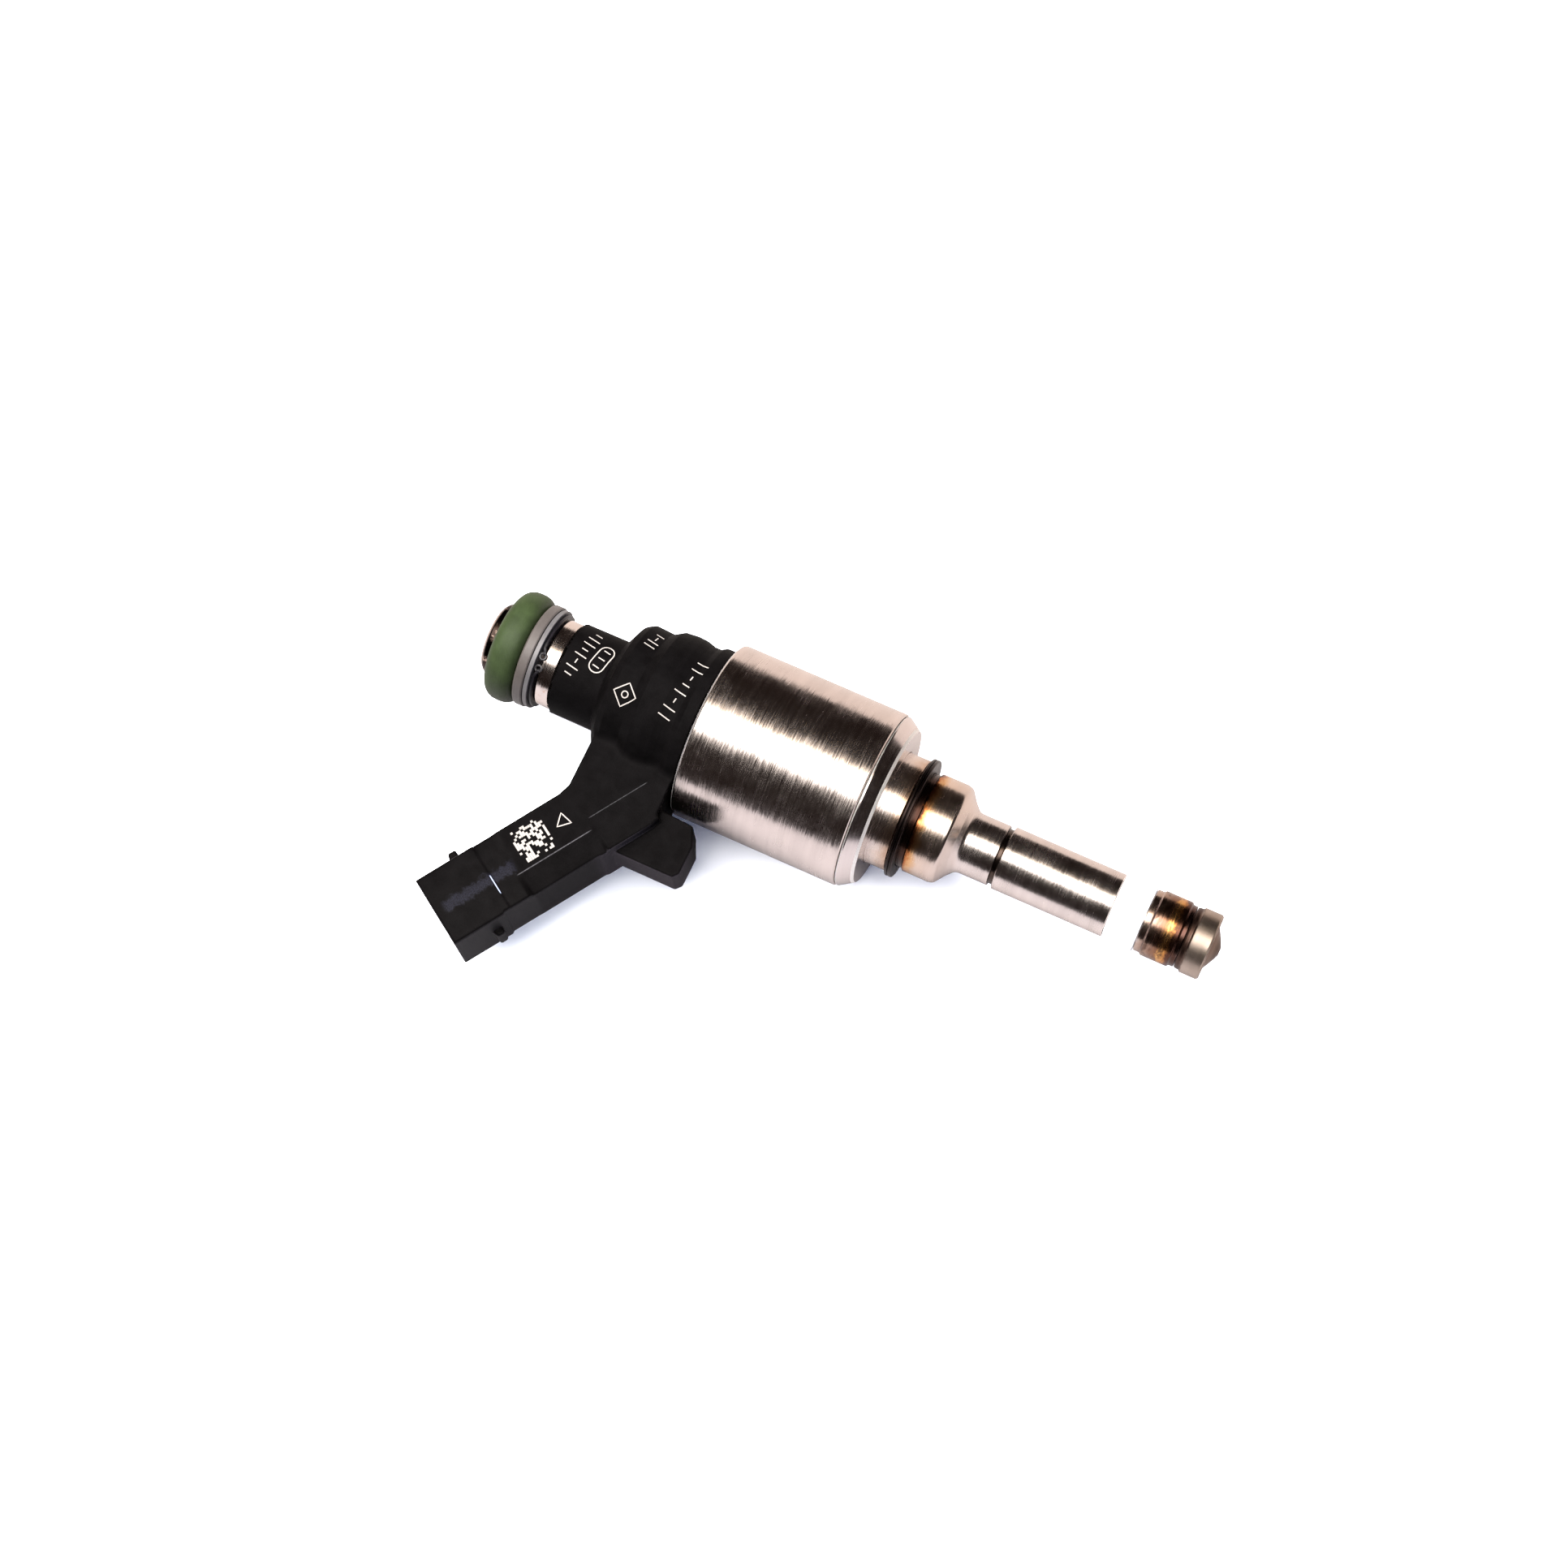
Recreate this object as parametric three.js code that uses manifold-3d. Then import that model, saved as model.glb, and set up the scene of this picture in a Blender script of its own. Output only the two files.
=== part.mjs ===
// Solenoid fuel injector for direct petrol injection, lying on its side.
// Millimetres. +X runs along the injector axis from the fuel inlet to the spray tip,
// the connector arm leaves towards -Y and -X, and z = 0 is the middle plane.
// The origin is the centre of the spray tip. Stations along the axis below are counted from
// the plane of the seating shoulder, and the finished group is moved back by TIP_X.
import * as THREE from "three";
import { mergeVertices } from "three/addons/utils/BufferGeometryUtils.js";
import Module from "manifold-3d";

const wasm = await Module();
wasm.setup();

// ---------------------------------------------------------------- driving dimensions
// Names ending in _X are stations on the axis, in _R radii. X0 is the end nearer the inlet.
const OUT_SEG = 28; // facets round an outside turned piece
const IN_SEG = 20; // facets round an inside turned piece
const WELD_TOLERANCE = 1e-4;

// solenoid housing
const HOUSING_R = 10.35;
const HOUSING_WALL = 1.2;
const HOUSING_IN_R = HOUSING_R - HOUSING_WALL;
const HOUSED_R = HOUSING_IN_R - 0.1; // pieces that fit inside the housing's end
const HOUSING_X0 = -22.0;
const HOUSING_X1 = -1.94;
const FRONT_CHAMFER_R = 9.1;

// inlet end
const INLET_X = -49.1;
const INLET_LIP_R = 4.2;
const INLET_SEAT_R = 3.25;
const INLET_COLLAR_R = 5.15;
const INLET_STEM_R = 4.3;
const INLET_BORE_R = 2.1;
const ORING_X = -45.8;
const ORING_RING_R = 4.9;
const ORING_SECTION_R = 1.6;

// overmould
const MOULD_X0 = -39.9;
const MOULD_R = 5.45;
const MOULD_BORE_R = INLET_STEM_R + 0.05;
const FLANGE_R = 9.2;
const FLANGE_X1 = -22.3;
const BLOCK_X0 = -32.6;

// connector arm, in its own frame: t across the arm, z as the injector's, s along the arm
const ARM_ANGLE = THREE.MathUtils.degToRad(57.3); // from -X towards -Y
const ARM_OFFSET = -15.65; // t of the arm's centre line, from the shoulder's centre
const ARM_END = 48.88; // s of the socket's rim
const ARM_HALF_W = 4.2;
const ARM_TOP = 4.6;
const ARM_BOTTOM = -4.3;
const SOCKET_START = 38.4;
const SOCKET_STEP = 41.6; // s where the proud mouth begins
const SOCKET_PROUD = 0.12;
const SOCKET_FLOOR = 40.3;

// contact blades, one on each side of z = 0
const SIDES = [-1, 1];
const BLADE_Z = 1.9;
const BLADE_T = 0.64;
const BLADE_W = 1.6;
const BLADE_BEND = 19.1; // s where a blade turns towards the coil
const BLADE_FOOT_X = -19.0;
const BLADE_TIP = ARM_END - 2.69;

// locating tab
const TAB_X1 = -17.35;
const TAB_STEP_X = -18.15;
const TAB_Y0 = -17.9;
const TAB_Y1 = -11.25;
const TAB_HALF_T = 2.7;

// nozzle holder
const NECK_R = 6.6;
const NECK2_R = 5.84;
const RING_R = 7.03;
const STEM_R = 3.7;
const TIP_R = 3.83;
const SEAL_R = 3.9;
const SEAL_X0 = 27.4;
const SEAL_X1 = 31.0;
const TIP_X = 39.8;
const PASSAGE_RING_R = 1.85; // circle of the flutes in the seat body's bore
const PASSAGE_R = 0.45;
const SPRAY_HOLE_R = 0.11;

// needle, armature and the sleeve round them
const NEEDLE_R = 1.4;
const COLLAR_BORE_R = NEEDLE_R + 0.03;
const BALL_R = 1.75;
const BALL_X = 35.9;
const BALL_FLAT_X = 34.74;
const LIFT = 0.08; // needle lift
const FREE_TRAVEL = 0.04; // armature travel on the needle before it picks the needle up
const REST_GAP = 0.01;
const POLE_FACE_X = -11.13;
const ARMATURE_X0 = POLE_FACE_X + LIFT + FREE_TRAVEL + REST_GAP;
const ARMATURE_X1 = -5.5;
const ARMATURE_R = 4.82;
const ARMATURE_RECESS_X = -9.4;
const LOWER_STOP_X0 = ARMATURE_X1 + 0.02;
const SLEEVE_IN_R = 4.9;
const SLEEVE_OUT_R = 5.3;
const BOBBIN_BORE_R = SLEEVE_OUT_R + 0.06;

const FINISH = {
  inletTube: { color: 0xc9c6c0, roughness: 0.22, metalness: 1 },
  filter: { color: 0xb08a4a, roughness: 0.5, metalness: 0.7 },
  oRing: { color: 0x5a784b, roughness: 0.55, metalness: 0 },
  backupRing: { color: 0xb9b9b4, roughness: 0.5, metalness: 0 },
  spacerRing: { color: 0x8d8d8a, roughness: 0.4, metalness: 0.6 },
  retainingRing: { color: 0x1b1b1b, roughness: 0.5, metalness: 0 },
  overmould: { color: 0x141416, roughness: 0.42, metalness: 0 },
  terminal: { color: 0xb9b4a6, roughness: 0.3, metalness: 1 },
  coilLead: { color: 0xa65e2e, roughness: 0.35, metalness: 1 },
  housing: { color: 0xb8b2aa, roughness: 0.28, metalness: 1 },
  frontRing: { color: 0xb5afa6, roughness: 0.3, metalness: 1 },
  rearWasher: { color: 0x9a9793, roughness: 0.4, metalness: 1 },
  bobbin: { color: 0x2a2a28, roughness: 0.5, metalness: 0 },
  winding: { color: 0xb4652f, roughness: 0.4, metalness: 0.9 },
  valveSleeve: { color: 0xbdbab4, roughness: 0.3, metalness: 1 },
  core: { color: 0x8f8c88, roughness: 0.35, metalness: 1 },
  adjustingSleeve: { color: 0xa8a49c, roughness: 0.35, metalness: 1 },
  spring: { color: 0x77777a, roughness: 0.35, metalness: 1 },
  valveBody: { color: 0xb3ada5, roughness: 0.3, metalness: 1 },
  snapRing: { color: 0x3a3836, roughness: 0.4, metalness: 0.8 },
  seal: { color: 0xf1efe9, roughness: 0.5, metalness: 0 },
  seatBody: { color: 0xaaa59c, roughness: 0.32, metalness: 1 },
  needle: { color: 0xbab6ae, roughness: 0.2, metalness: 1 },
  ball: { color: 0xd0ccc4, roughness: 0.1, metalness: 1 },
  needleCollar: { color: 0x9d9992, roughness: 0.3, metalness: 1 },
};

// ---------------------------------------------------------------- geometry helpers
// Welds a three.js geometry into a solid, turning it right side out if needed.
function toSolid(geometry) {
  geometry.deleteAttribute("normal");
  geometry.deleteAttribute("uv");
  const welded = mergeVertices(geometry, WELD_TOLERANCE);
  const index = welded.index.array;
  const triangles = [];
  for (let i = 0; i < index.length; i += 3) {
    const [a, b, c] = index.subarray(i, i + 3);
    if (a !== b && b !== c && a !== c) triangles.push(a, b, c);
  }
  const build = () =>
    new wasm.Manifold(
      new wasm.Mesh({
        numProp: 3,
        vertProperties: welded.attributes.position.array,
        triVerts: new Uint32Array(triangles),
      }),
    );
  const solid = build();
  if (solid.volume() >= 0) return solid;
  for (let i = 0; i < triangles.length; i += 3) {
    [triangles[i + 1], triangles[i + 2]] = [triangles[i + 2], triangles[i + 1]];
  }
  return build();
}

function toGeometry(solid) {
  const mesh = solid.getMesh();
  const geometry = new THREE.BufferGeometry();
  geometry.setAttribute("position", new THREE.Float32BufferAttribute(mesh.vertProperties, 3));
  geometry.setIndex(new THREE.Uint32BufferAttribute(mesh.triVerts, 1));
  geometry.computeVertexNormals();
  return geometry;
}

// A turned piece. Its profile is a list of [x, r], either with both ends on the axis
// or a loop that is closed here.
function turned(profile, segments = OUT_SEG) {
  const points = profile.map(([x, r]) => new THREE.Vector2(r, x));
  const onAxis = profile[0][1] === 0 && profile.at(-1)[1] === 0;
  if (!onAxis) points.push(points[0].clone());
  const geometry = new THREE.LatheGeometry(points, segments);
  geometry.rotateZ(-Math.PI / 2); // the lathe's own axis becomes +X
  return toSolid(geometry);
}

// A straight tube between two stations.
const tube = (x0, x1, rIn, rOut, segments = OUT_SEG) =>
  turned([[x0, rIn], [x1, rIn], [x1, rOut], [x0, rOut]], segments);

// A plain cylinder along X.
const rod = (x0, x1, r, segments = OUT_SEG) =>
  turned([[x0, 0], [x0, r], [x1, r], [x1, 0]], segments);

const toShape = (outline) => new THREE.Shape(outline.map(([x, y]) => new THREE.Vector2(x, y)));

// A flat outline in the XY plane of a frame, given thickness along that frame's Z.
function plate(outline, z0, z1, frame = new THREE.Matrix4()) {
  const geometry = new THREE.ExtrudeGeometry(toShape(outline), {
    depth: z1 - z0,
    bevelEnabled: false,
  });
  geometry.translate(0, 0, z0);
  geometry.applyMatrix4(frame);
  return toSolid(geometry);
}

// A box from its three ranges.
function block([x0, x1], [y0, y1], [z0, z1]) {
  const geometry = new THREE.BoxGeometry(x1 - x0, y1 - y0, z1 - z0);
  geometry.translate((x0 + x1) / 2, (y0 + y1) / 2, (z0 + z1) / 2);
  return toSolid(geometry);
}

// A round bar between two points.
function bar(start, end, radius, segments = 8) {
  const from = new THREE.Vector3(...start);
  const to = new THREE.Vector3(...end);
  const geometry = new THREE.CylinderGeometry(radius, radius, from.distanceTo(to), segments);
  const direction = to.clone().sub(from).normalize();
  const up = new THREE.Vector3(0, 1, 0);
  geometry.applyQuaternion(new THREE.Quaternion().setFromUnitVectors(up, direction));
  geometry.translate(...from.add(to).divideScalar(2).toArray());
  return toSolid(geometry);
}

// Evenly spaced points on a circle about the origin.
const circlePoints = (count, radius, startAngle = 0) =>
  Array.from({ length: count }, (_, i) => {
    const angle = startAngle + (2 * Math.PI * i) / count;
    return [radius * Math.cos(angle), radius * Math.sin(angle)];
  });

class Helix extends THREE.Curve {
  constructor(x0, x1, radius, turns) {
    super();
    Object.assign(this, { x0, x1, radius, turns });
  }
  getPoint(u, target = new THREE.Vector3()) {
    const angle = 2 * Math.PI * this.turns * u;
    return target.set(
      this.x0 + (this.x1 - this.x0) * u,
      this.radius * Math.cos(angle),
      this.radius * Math.sin(angle),
    );
  }
}

// A coil spring along X, of six-sided wire.
function coil({ x0, x1, radius, wireR, turns }) {
  const STEPS_PER_TURN = 10;
  const section = toShape(circlePoints(6, wireR));
  section.closePath();
  return toSolid(
    new THREE.ExtrudeGeometry(section, {
      steps: Math.round(turns * STEPS_PER_TURN),
      bevelEnabled: false,
      extrudePath: new Helix(x0 + wireR, x1 - wireR, radius, turns),
    }),
  );
}

// ---------------------------------------------------------------- arm frame
const ARM_ALONG = new THREE.Vector3(-Math.cos(ARM_ANGLE), -Math.sin(ARM_ANGLE), 0);
const ARM_ACROSS = new THREE.Vector3(Math.sin(ARM_ANGLE), -Math.cos(ARM_ANGLE), 0);
const ARM_FOOT = ARM_ACROSS.clone().multiplyScalar(ARM_OFFSET);
const ARM_FRAME = new THREE.Matrix4()
  .makeBasis(ARM_ACROSS, new THREE.Vector3(0, 0, 1), ARM_ALONG)
  .setPosition(ARM_FOOT);

// The [x, y] of a point given by its t and s.
const armPoint = (t, s) => [
  ARM_FOOT.x + ARM_ACROSS.x * t + ARM_ALONG.x * s,
  ARM_FOOT.y + ARM_ACROSS.y * t + ARM_ALONG.y * s,
];

// A prism along the arm from its section [t, z].
const armPrism = (section, s0, s1) => plate(section, s0, s1, ARM_FRAME);

const BLADE_FOOT_Y = armPoint(0, BLADE_BEND)[1];

// ---------------------------------------------------------------- inlet
const inletTube = () =>
  turned([
    [INLET_X, INLET_BORE_R + 0.35], [INLET_X + 0.35, INLET_BORE_R],
    [-19.05, INLET_BORE_R], [-19.05, 5.25], [-20.05, 5.25], [-20.05, INLET_STEM_R],
    [MOULD_X0 + 0.1, INLET_STEM_R], [MOULD_X0 + 0.1, 4.95],
    [MOULD_X0 - 0.1, INLET_COLLAR_R], [-41.5, INLET_COLLAR_R],
    [-41.7, 4.95], [-41.7, INLET_SEAT_R], [-47.5, INLET_SEAT_R],
    [-47.8, INLET_LIP_R], [-48.7, INLET_LIP_R], [INLET_X, INLET_LIP_R - 0.4],
  ]);

// Strainer basket: a rim ring and a closed cage with four long windows.
function inletFilter() {
  const basket = [
    [-48.4, 0], [-48.4, 2.05], [-46.6, 2.05], [-46.6, 1.75],
    [-39.4, 1.75], [-39.0, 1.35], [-39.0, 0],
  ];
  const length = [-46.0, -40.2];
  const width = [-0.7, 0.7];
  const through = [-2.2, 2.2];
  return turned(basket, IN_SEG)
    .subtract(rod(-49, -39.5, 1.45, IN_SEG))
    .subtract(block(length, width, through))
    .subtract(block(length, through, width));
}

const inletORing = () =>
  turned(circlePoints(10, ORING_SECTION_R).map(([x, r]) => [ORING_X + x, ORING_RING_R + r]));

const backupRing = () =>
  turned([
    [-44.12, 3.35], [-42.82, 3.35], [-42.82, 5.9],
    [-42.92, 6.0], [-44.0, 6.0], [-44.12, 5.85],
  ]);

const spacerRing = () => tube(-42.76, -42.22, 3.35, 5.85);

// Ring with a gap on its +Z side.
const retainingRing = () =>
  tube(-42.16, -41.76, 3.4, 5.6).subtract(block([-43, -41], [-2.9, -0.9], [2.6, 7]));

// ---------------------------------------------------------------- overmould and contacts
// Outline of a blade in XY, from the socket down to the coil, mitred at its bend.
function bladeOutline(width, tip) {
  const half = width / 2;
  const mitre = half * Math.tan(ARM_ANGLE / 2);
  return [
    armPoint(-half, tip),
    armPoint(-half, BLADE_BEND - mitre),
    [BLADE_FOOT_X, BLADE_FOOT_Y + half],
    [BLADE_FOOT_X, BLADE_FOOT_Y - half],
    armPoint(half, BLADE_BEND + mitre),
    armPoint(half, tip),
  ];
}

// A blade on one side; the clearance widens it all round for its channel.
function blade(side, tip, clearance = 0) {
  const middle = side * BLADE_Z;
  const half = BLADE_T / 2 + clearance;
  return plate(bladeOutline(BLADE_W + 2 * clearance, tip), middle - half, middle + half);
}

// Outer section [t, z] of the plug socket, grown outwards.
const socketSection = (grow) => [
  [-ARM_HALF_W - grow, -3.7], [-3.5, -4.3 - grow], [0, -4.75 - grow],
  [3.5, -4.3 - grow], [ARM_HALF_W + grow, -3.7],
  [ARM_HALF_W + grow, 3.7], [3.4, 4.35 + grow], [1.6, 4.75 + grow],
  [-1.6, 4.75 + grow], [-3.4, 4.35 + grow], [-ARM_HALF_W - grow, 3.7],
];

// Sleeve round the inlet tube, widening to the flange and a spigot inside the housing.
const mouldSleeve = () =>
  turned([
    [MOULD_X0, 5.2], [MOULD_X0 + 0.3, MOULD_R], [-34.25, 5.5], [-33.0, 7.95],
    [-32.2, 8.4], [-29.9, 8.3], [-28.75, 9.0], [-27.3, 9.15], [-26.2, 9.08],
    [-25.2, 8.8], [-24.5, 8.75], [-23.5, FLANGE_R], [FLANGE_X1, FLANGE_R],
    [FLANGE_X1, HOUSED_R], [-20.2, HOUSED_R], [-20.2, MOULD_BORE_R],
    [MOULD_X0, MOULD_BORE_R],
  ]).subtract(rod(-45, -39.65, 5.35)); // seat of the bare collar's end

// Block between the sleeve and the arm.
const armRoot = () =>
  plate(
    [
      [BLOCK_X0, -1],
      [BLOCK_X0, -13.5],
      armPoint(-ARM_HALF_W, 30.1),
      armPoint(ARM_HALF_W, 28),
      [FLANGE_X1, -13.55],
      [FLANGE_X1, -1],
    ],
    ARM_BOTTOM,
    ARM_TOP,
  );

function armShank() {
  const section = [
    [-ARM_HALF_W, -3.7], [-3.6, ARM_BOTTOM], [3.6, ARM_BOTTOM], [ARM_HALF_W, -3.7],
    [ARM_HALF_W, 3.6], [1.2, ARM_TOP], [-3.6, ARM_TOP], [-ARM_HALF_W, 4.0],
  ];
  return armPrism(section, 24, SOCKET_START + 0.5);
}

// Lug on one of the socket's two t sides.
function latchLug(side) {
  const outline = [[4.0, 5.6], [5.1, 5.5], [5.1, 4.7], [4.0, 4.1]]; // [t, distance from rim]
  return plate(outline.map(([t, back]) => armPoint(side * t, ARM_END - back)), -2.4, 2.8);
}

const locatingTab = () =>
  plate(
    [
      [-26.6, TAB_Y0], [-18.05, TAB_Y0], [TAB_X1 - 0.2, TAB_Y0 + 0.2],
      [TAB_X1, TAB_Y0 + 0.7], [TAB_X1, -13.7], [TAB_STEP_X, -12.0],
      [TAB_STEP_X, TAB_Y1], [-21.9, TAB_Y1 - 0.3], [-24.5, TAB_Y1 - 0.3],
    ],
    -TAB_HALF_T,
    TAB_HALF_T,
  );

function socketCavity() {
  const section = [
    [-3.25, -2.6], [-2.5, -3.35], [2.5, -3.35], [3.25, -2.6],
    [3.25, 2.7], [2.5, 3.45], [-2.5, 3.45], [-3.25, 2.7],
  ];
  return armPrism(section, SOCKET_FLOOR, ARM_END + 1);
}

// Key slot in the cavity's -Z wall.
function keySlot() {
  const section = [[-0.6, -4.0], [0.6, -4.0], [0.6, -3.2], [-0.6, -3.2]];
  return armPrism(section, SOCKET_FLOOR + 1.5, ARM_END + 1);
}

function connectorBody() {
  let arm = armRoot()
    .add(armShank())
    .add(armPrism(socketSection(0), SOCKET_START, SOCKET_STEP + 0.2))
    .add(armPrism(socketSection(SOCKET_PROUD), SOCKET_STEP, ARM_END));
  for (const side of SIDES) arm = arm.add(latchLug(side));
  arm = arm.add(locatingTab());

  let body = mouldSleeve()
    .add(arm)
    .subtract(tube(FLANGE_X1, 0, HOUSED_R, 11.12)) // room for the steel housing
    .subtract(rod(-45, -19, MOULD_BORE_R)) // bore for the inlet tube
    .subtract(socketCavity())
    .subtract(keySlot());
  for (const side of SIDES) body = body.subtract(blade(side, SOCKET_FLOOR + 0.5, 0.08 + 0));
  return widenChannels(body);
}

// Brings the blade channels to 0.1 clearance across the blade's width.
function widenChannels(body) {
  const half = BLADE_T / 2 + 0.08;
  for (const side of SIDES) {
    const middle = side * BLADE_Z;
    const outline = bladeOutline(BLADE_W + 0.2, SOCKET_FLOOR + 0.5);
    body = body.subtract(plate(outline, middle - half, middle + half));
  }
  return body;
}

const coilLead = (side) =>
  bar([-18.9, BLADE_FOOT_Y, side * BLADE_Z], [-17.62, BLADE_FOOT_Y, side * BLADE_Z], 0.3);

// ---------------------------------------------------------------- solenoid
const solenoidHousing = () =>
  turned([
    [HOUSING_X0, HOUSING_IN_R], [HOUSING_X1, HOUSING_IN_R],
    [HOUSING_X1, HOUSING_R - 0.15], [HOUSING_X1 - 0.15, HOUSING_R],
    [HOUSING_X0 + 0.3, HOUSING_R], [HOUSING_X0, HOUSING_R - 0.3],
  ]);

// Ring at the housing's tip end; its face at x = 0 is the seating shoulder.
const frontRing = () =>
  turned([
    [-4.0, BOBBIN_BORE_R], [-2.55, BOBBIN_BORE_R], [-2.55, NECK_R + 0.05],
    [0, NECK_R + 0.05], [0, FRONT_CHAMFER_R], [-1.8, 10.22],
    [-1.89, 10.1], [-1.89, 9.1], [-4.0, 9.1],
  ]);

// Washer at the inlet end of the coil, notched on its -Y side for the coil leads.
const rearWasher = () =>
  tube(-20.12, -18.95, SLEEVE_OUT_R + 0.1, HOUSED_R, IN_SEG).subtract(
    block([-21, -18], [-9.6, -6.3], [-2.8, 2.8]),
  );

// Flanged bobbin with a slot for each coil lead.
function coilBobbin() {
  const profile = [
    [-18.6, BOBBIN_BORE_R], [-4.2, BOBBIN_BORE_R], [-4.2, 9.0], [-5.1, 9.0],
    [-5.1, 5.95], [-17.6, 5.95], [-17.6, 9.0], [-18.6, 9.0],
  ];
  let bobbin = turned(profile, IN_SEG);
  for (const side of SIDES) {
    const middle = side * BLADE_Z;
    bobbin = bobbin.subtract(block([-19, -17.5], [-9.3, -7.1], [middle - 0.45, middle + 0.45]));
  }
  return bobbin;
}

const coilWinding = () => tube(-17.5, -5.2, 6.0, 8.75, IN_SEG);

const valveSleeve = () => tube(-19.0, -2.62, SLEEVE_IN_R, SLEEVE_OUT_R, IN_SEG);

function poleCore() {
  const profile = [
    [-19.0, INLET_BORE_R], [-13.5, INLET_BORE_R], [-13.5, 2.75],
    [POLE_FACE_X, 2.75], [POLE_FACE_X, ARMATURE_R], [-19.0, ARMATURE_R],
  ];
  return turned(profile, IN_SEG);
}

// Sleeve slit lengthwise on its +Y side.
const adjustingSleeve = () =>
  tube(-25.0, -19.6, 1.3, 2.06, IN_SEG).subtract(block([-26, -19], [0, 3], [-0.2, 0.2]));

const returnSpring = () => coil({ x0: -19.5, x1: -13.12, radius: 1.6, wireR: 0.3, turns: 6.5 });

// ---------------------------------------------------------------- nozzle holder
const valveBody = () =>
  turned([
    // bore, towards the tip
    [-4.6, 2.6], [-3.0, 2.6], [-3.0, 2.2], [31.5, 2.2], [31.5, 2.85], [35.8, 2.85],
    // outside, back towards the inlet
    [35.8, 3.6], [35.3, 3.62], [35.15, TIP_R], [32.0, TIP_R], [31.8, 3.62], [31.1, 3.62],
    [31.1, 3.1], [27.3, 3.1], [27.3, STEM_R], [14.15, STEM_R], [13.98, 3.42],
    [13.6, 3.38], [13.5, 3.56], [9.75, 3.56], [9.4, 3.8], [8.85, 4.5], [8.05, 5.55],
    [7.7, NECK2_R], [4.3, NECK2_R], [4.2, 5.58], [2.62, 5.58], [2.62, NECK_R - 0.1],
    [2.5, NECK_R], [-2.5, NECK_R], [-2.5, 4.8], [-4.6, 4.8],
  ]);

const snapRing = () =>
  turned([
    [2.66, 5.64], [3.6, 5.64], [3.6, 6.95], [3.5, RING_R], [3.2, RING_R],
    [3.13, 6.85], [3.06, RING_R], [2.76, RING_R], [2.66, 6.95],
  ]);

const combustionSeal = () =>
  turned([
    [SEAL_X0, 3.15], [SEAL_X1, 3.15], [SEAL_X1, SEAL_R - 0.15],
    [SEAL_X1 - 0.2, SEAL_R], [SEAL_X0 + 0.2, SEAL_R], [SEAL_X0, SEAL_R - 0.15],
  ]);

function seatBody() {
  let seat = turned([
    // bore and seat cone, towards the tip
    [31.55, 1.8], [36.66, 1.8], [38.02, 0.45], [38.45, 0.4], [38.65, 0],
    // domed tip and outside, back towards the inlet
    [TIP_X, 0], [TIP_X, 0.6], [TIP_X - 0.1, 0.95], [TIP_X - 0.3, 1.4],
    [TIP_X - 0.62, 1.95], [TIP_X - 0.9, 2.35], [38.8, 2.5], [38.8, TIP_R - 0.25],
    [38.55, TIP_R], [36.65, TIP_R], [36.5, 3.62], [36.0, 3.6],
    [35.86, 3.5], [35.86, 2.78], [31.55, 2.78],
  ]);
  // four flutes along the bore
  for (const [y, z] of circlePoints(4, PASSAGE_RING_R, Math.PI / 4)) {
    seat = seat.subtract(bar([31.0, y, z], [36.3, y, z], PASSAGE_R));
  }
  // six spray holes on a cone
  for (const [y, z] of circlePoints(6, 1, Math.PI / 6)) {
    const inner = [38.35, 0.2 * y, 0.2 * z];
    const outer = [39.9, 1.55 * y, 1.55 * z];
    seat = seat.subtract(bar(inner, outer, SPRAY_HOLE_R, 6));
  }
  return seat;
}

// ---------------------------------------------------------------- needle group
function valveNeedle() {
  const profile = [
    [-13.8, 0], [-13.8, 1.0], [-13.65, 1.12], [-13.02, 1.12],
    [-13.02, NEEDLE_R], [34.4, NEEDLE_R], [34.7, 1.25], [34.7, 0],
  ];
  return turned(profile, IN_SEG);
}

// Ball with a flat towards the needle.
function needleBall() {
  const STEPS = 8;
  const flatAngle = Math.acos((BALL_FLAT_X - BALL_X) / BALL_R);
  const profile = [[BALL_FLAT_X, 0]];
  for (let i = 0; i < STEPS; i++) {
    const angle = flatAngle * (1 - i / STEPS);
    profile.push([BALL_X + BALL_R * Math.cos(angle), BALL_R * Math.sin(angle)]);
  }
  profile.push([BALL_X + BALL_R, 0]);
  return turned(profile, IN_SEG);
}

const upperCollar = () =>
  tube(-13.0, ARMATURE_X0 - FREE_TRAVEL - REST_GAP, COLLAR_BORE_R, 2.66, IN_SEG);

function lowerStop() {
  const profile = [
    [LOWER_STOP_X0, COLLAR_BORE_R], [-3.6, COLLAR_BORE_R], [-3.6, 2.1],
    [-3.8, 2.3], [LOWER_STOP_X0, 2.3],
  ];
  return turned(profile, IN_SEG);
}

const armatureSpring = () =>
  coil({ x0: ARMATURE_X0 - 0.03, x1: -9.5, radius: 1.82, wireR: 0.17, turns: 2.5 });

// Armature, recessed for its spring and drilled with four through holes.
function armature() {
  const profile = [
    [ARMATURE_X0, 2.2], [ARMATURE_RECESS_X, 2.2], [ARMATURE_RECESS_X, NEEDLE_R + 0.05],
    [ARMATURE_X1, NEEDLE_R + 0.05], [ARMATURE_X1, ARMATURE_R - 0.3],
    [ARMATURE_X1 - 0.3, ARMATURE_R], [ARMATURE_X0, ARMATURE_R],
  ];
  let body = turned(profile, IN_SEG);
  for (const [y, z] of circlePoints(4, 3.45)) {
    body = body.subtract(bar([-12, y, z], [-5, y, z], 0.55));
  }
  return body;
}

// ---------------------------------------------------------------- assembly
const group = new THREE.Group();
group.name = "fuel_injector";
group.position.x = -TIP_X;
const fixed = new THREE.Group();
const needle = new THREE.Group();
const slider = new THREE.Group(); // slides on the needle
group.add(fixed, needle);
needle.add(slider);

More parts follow.
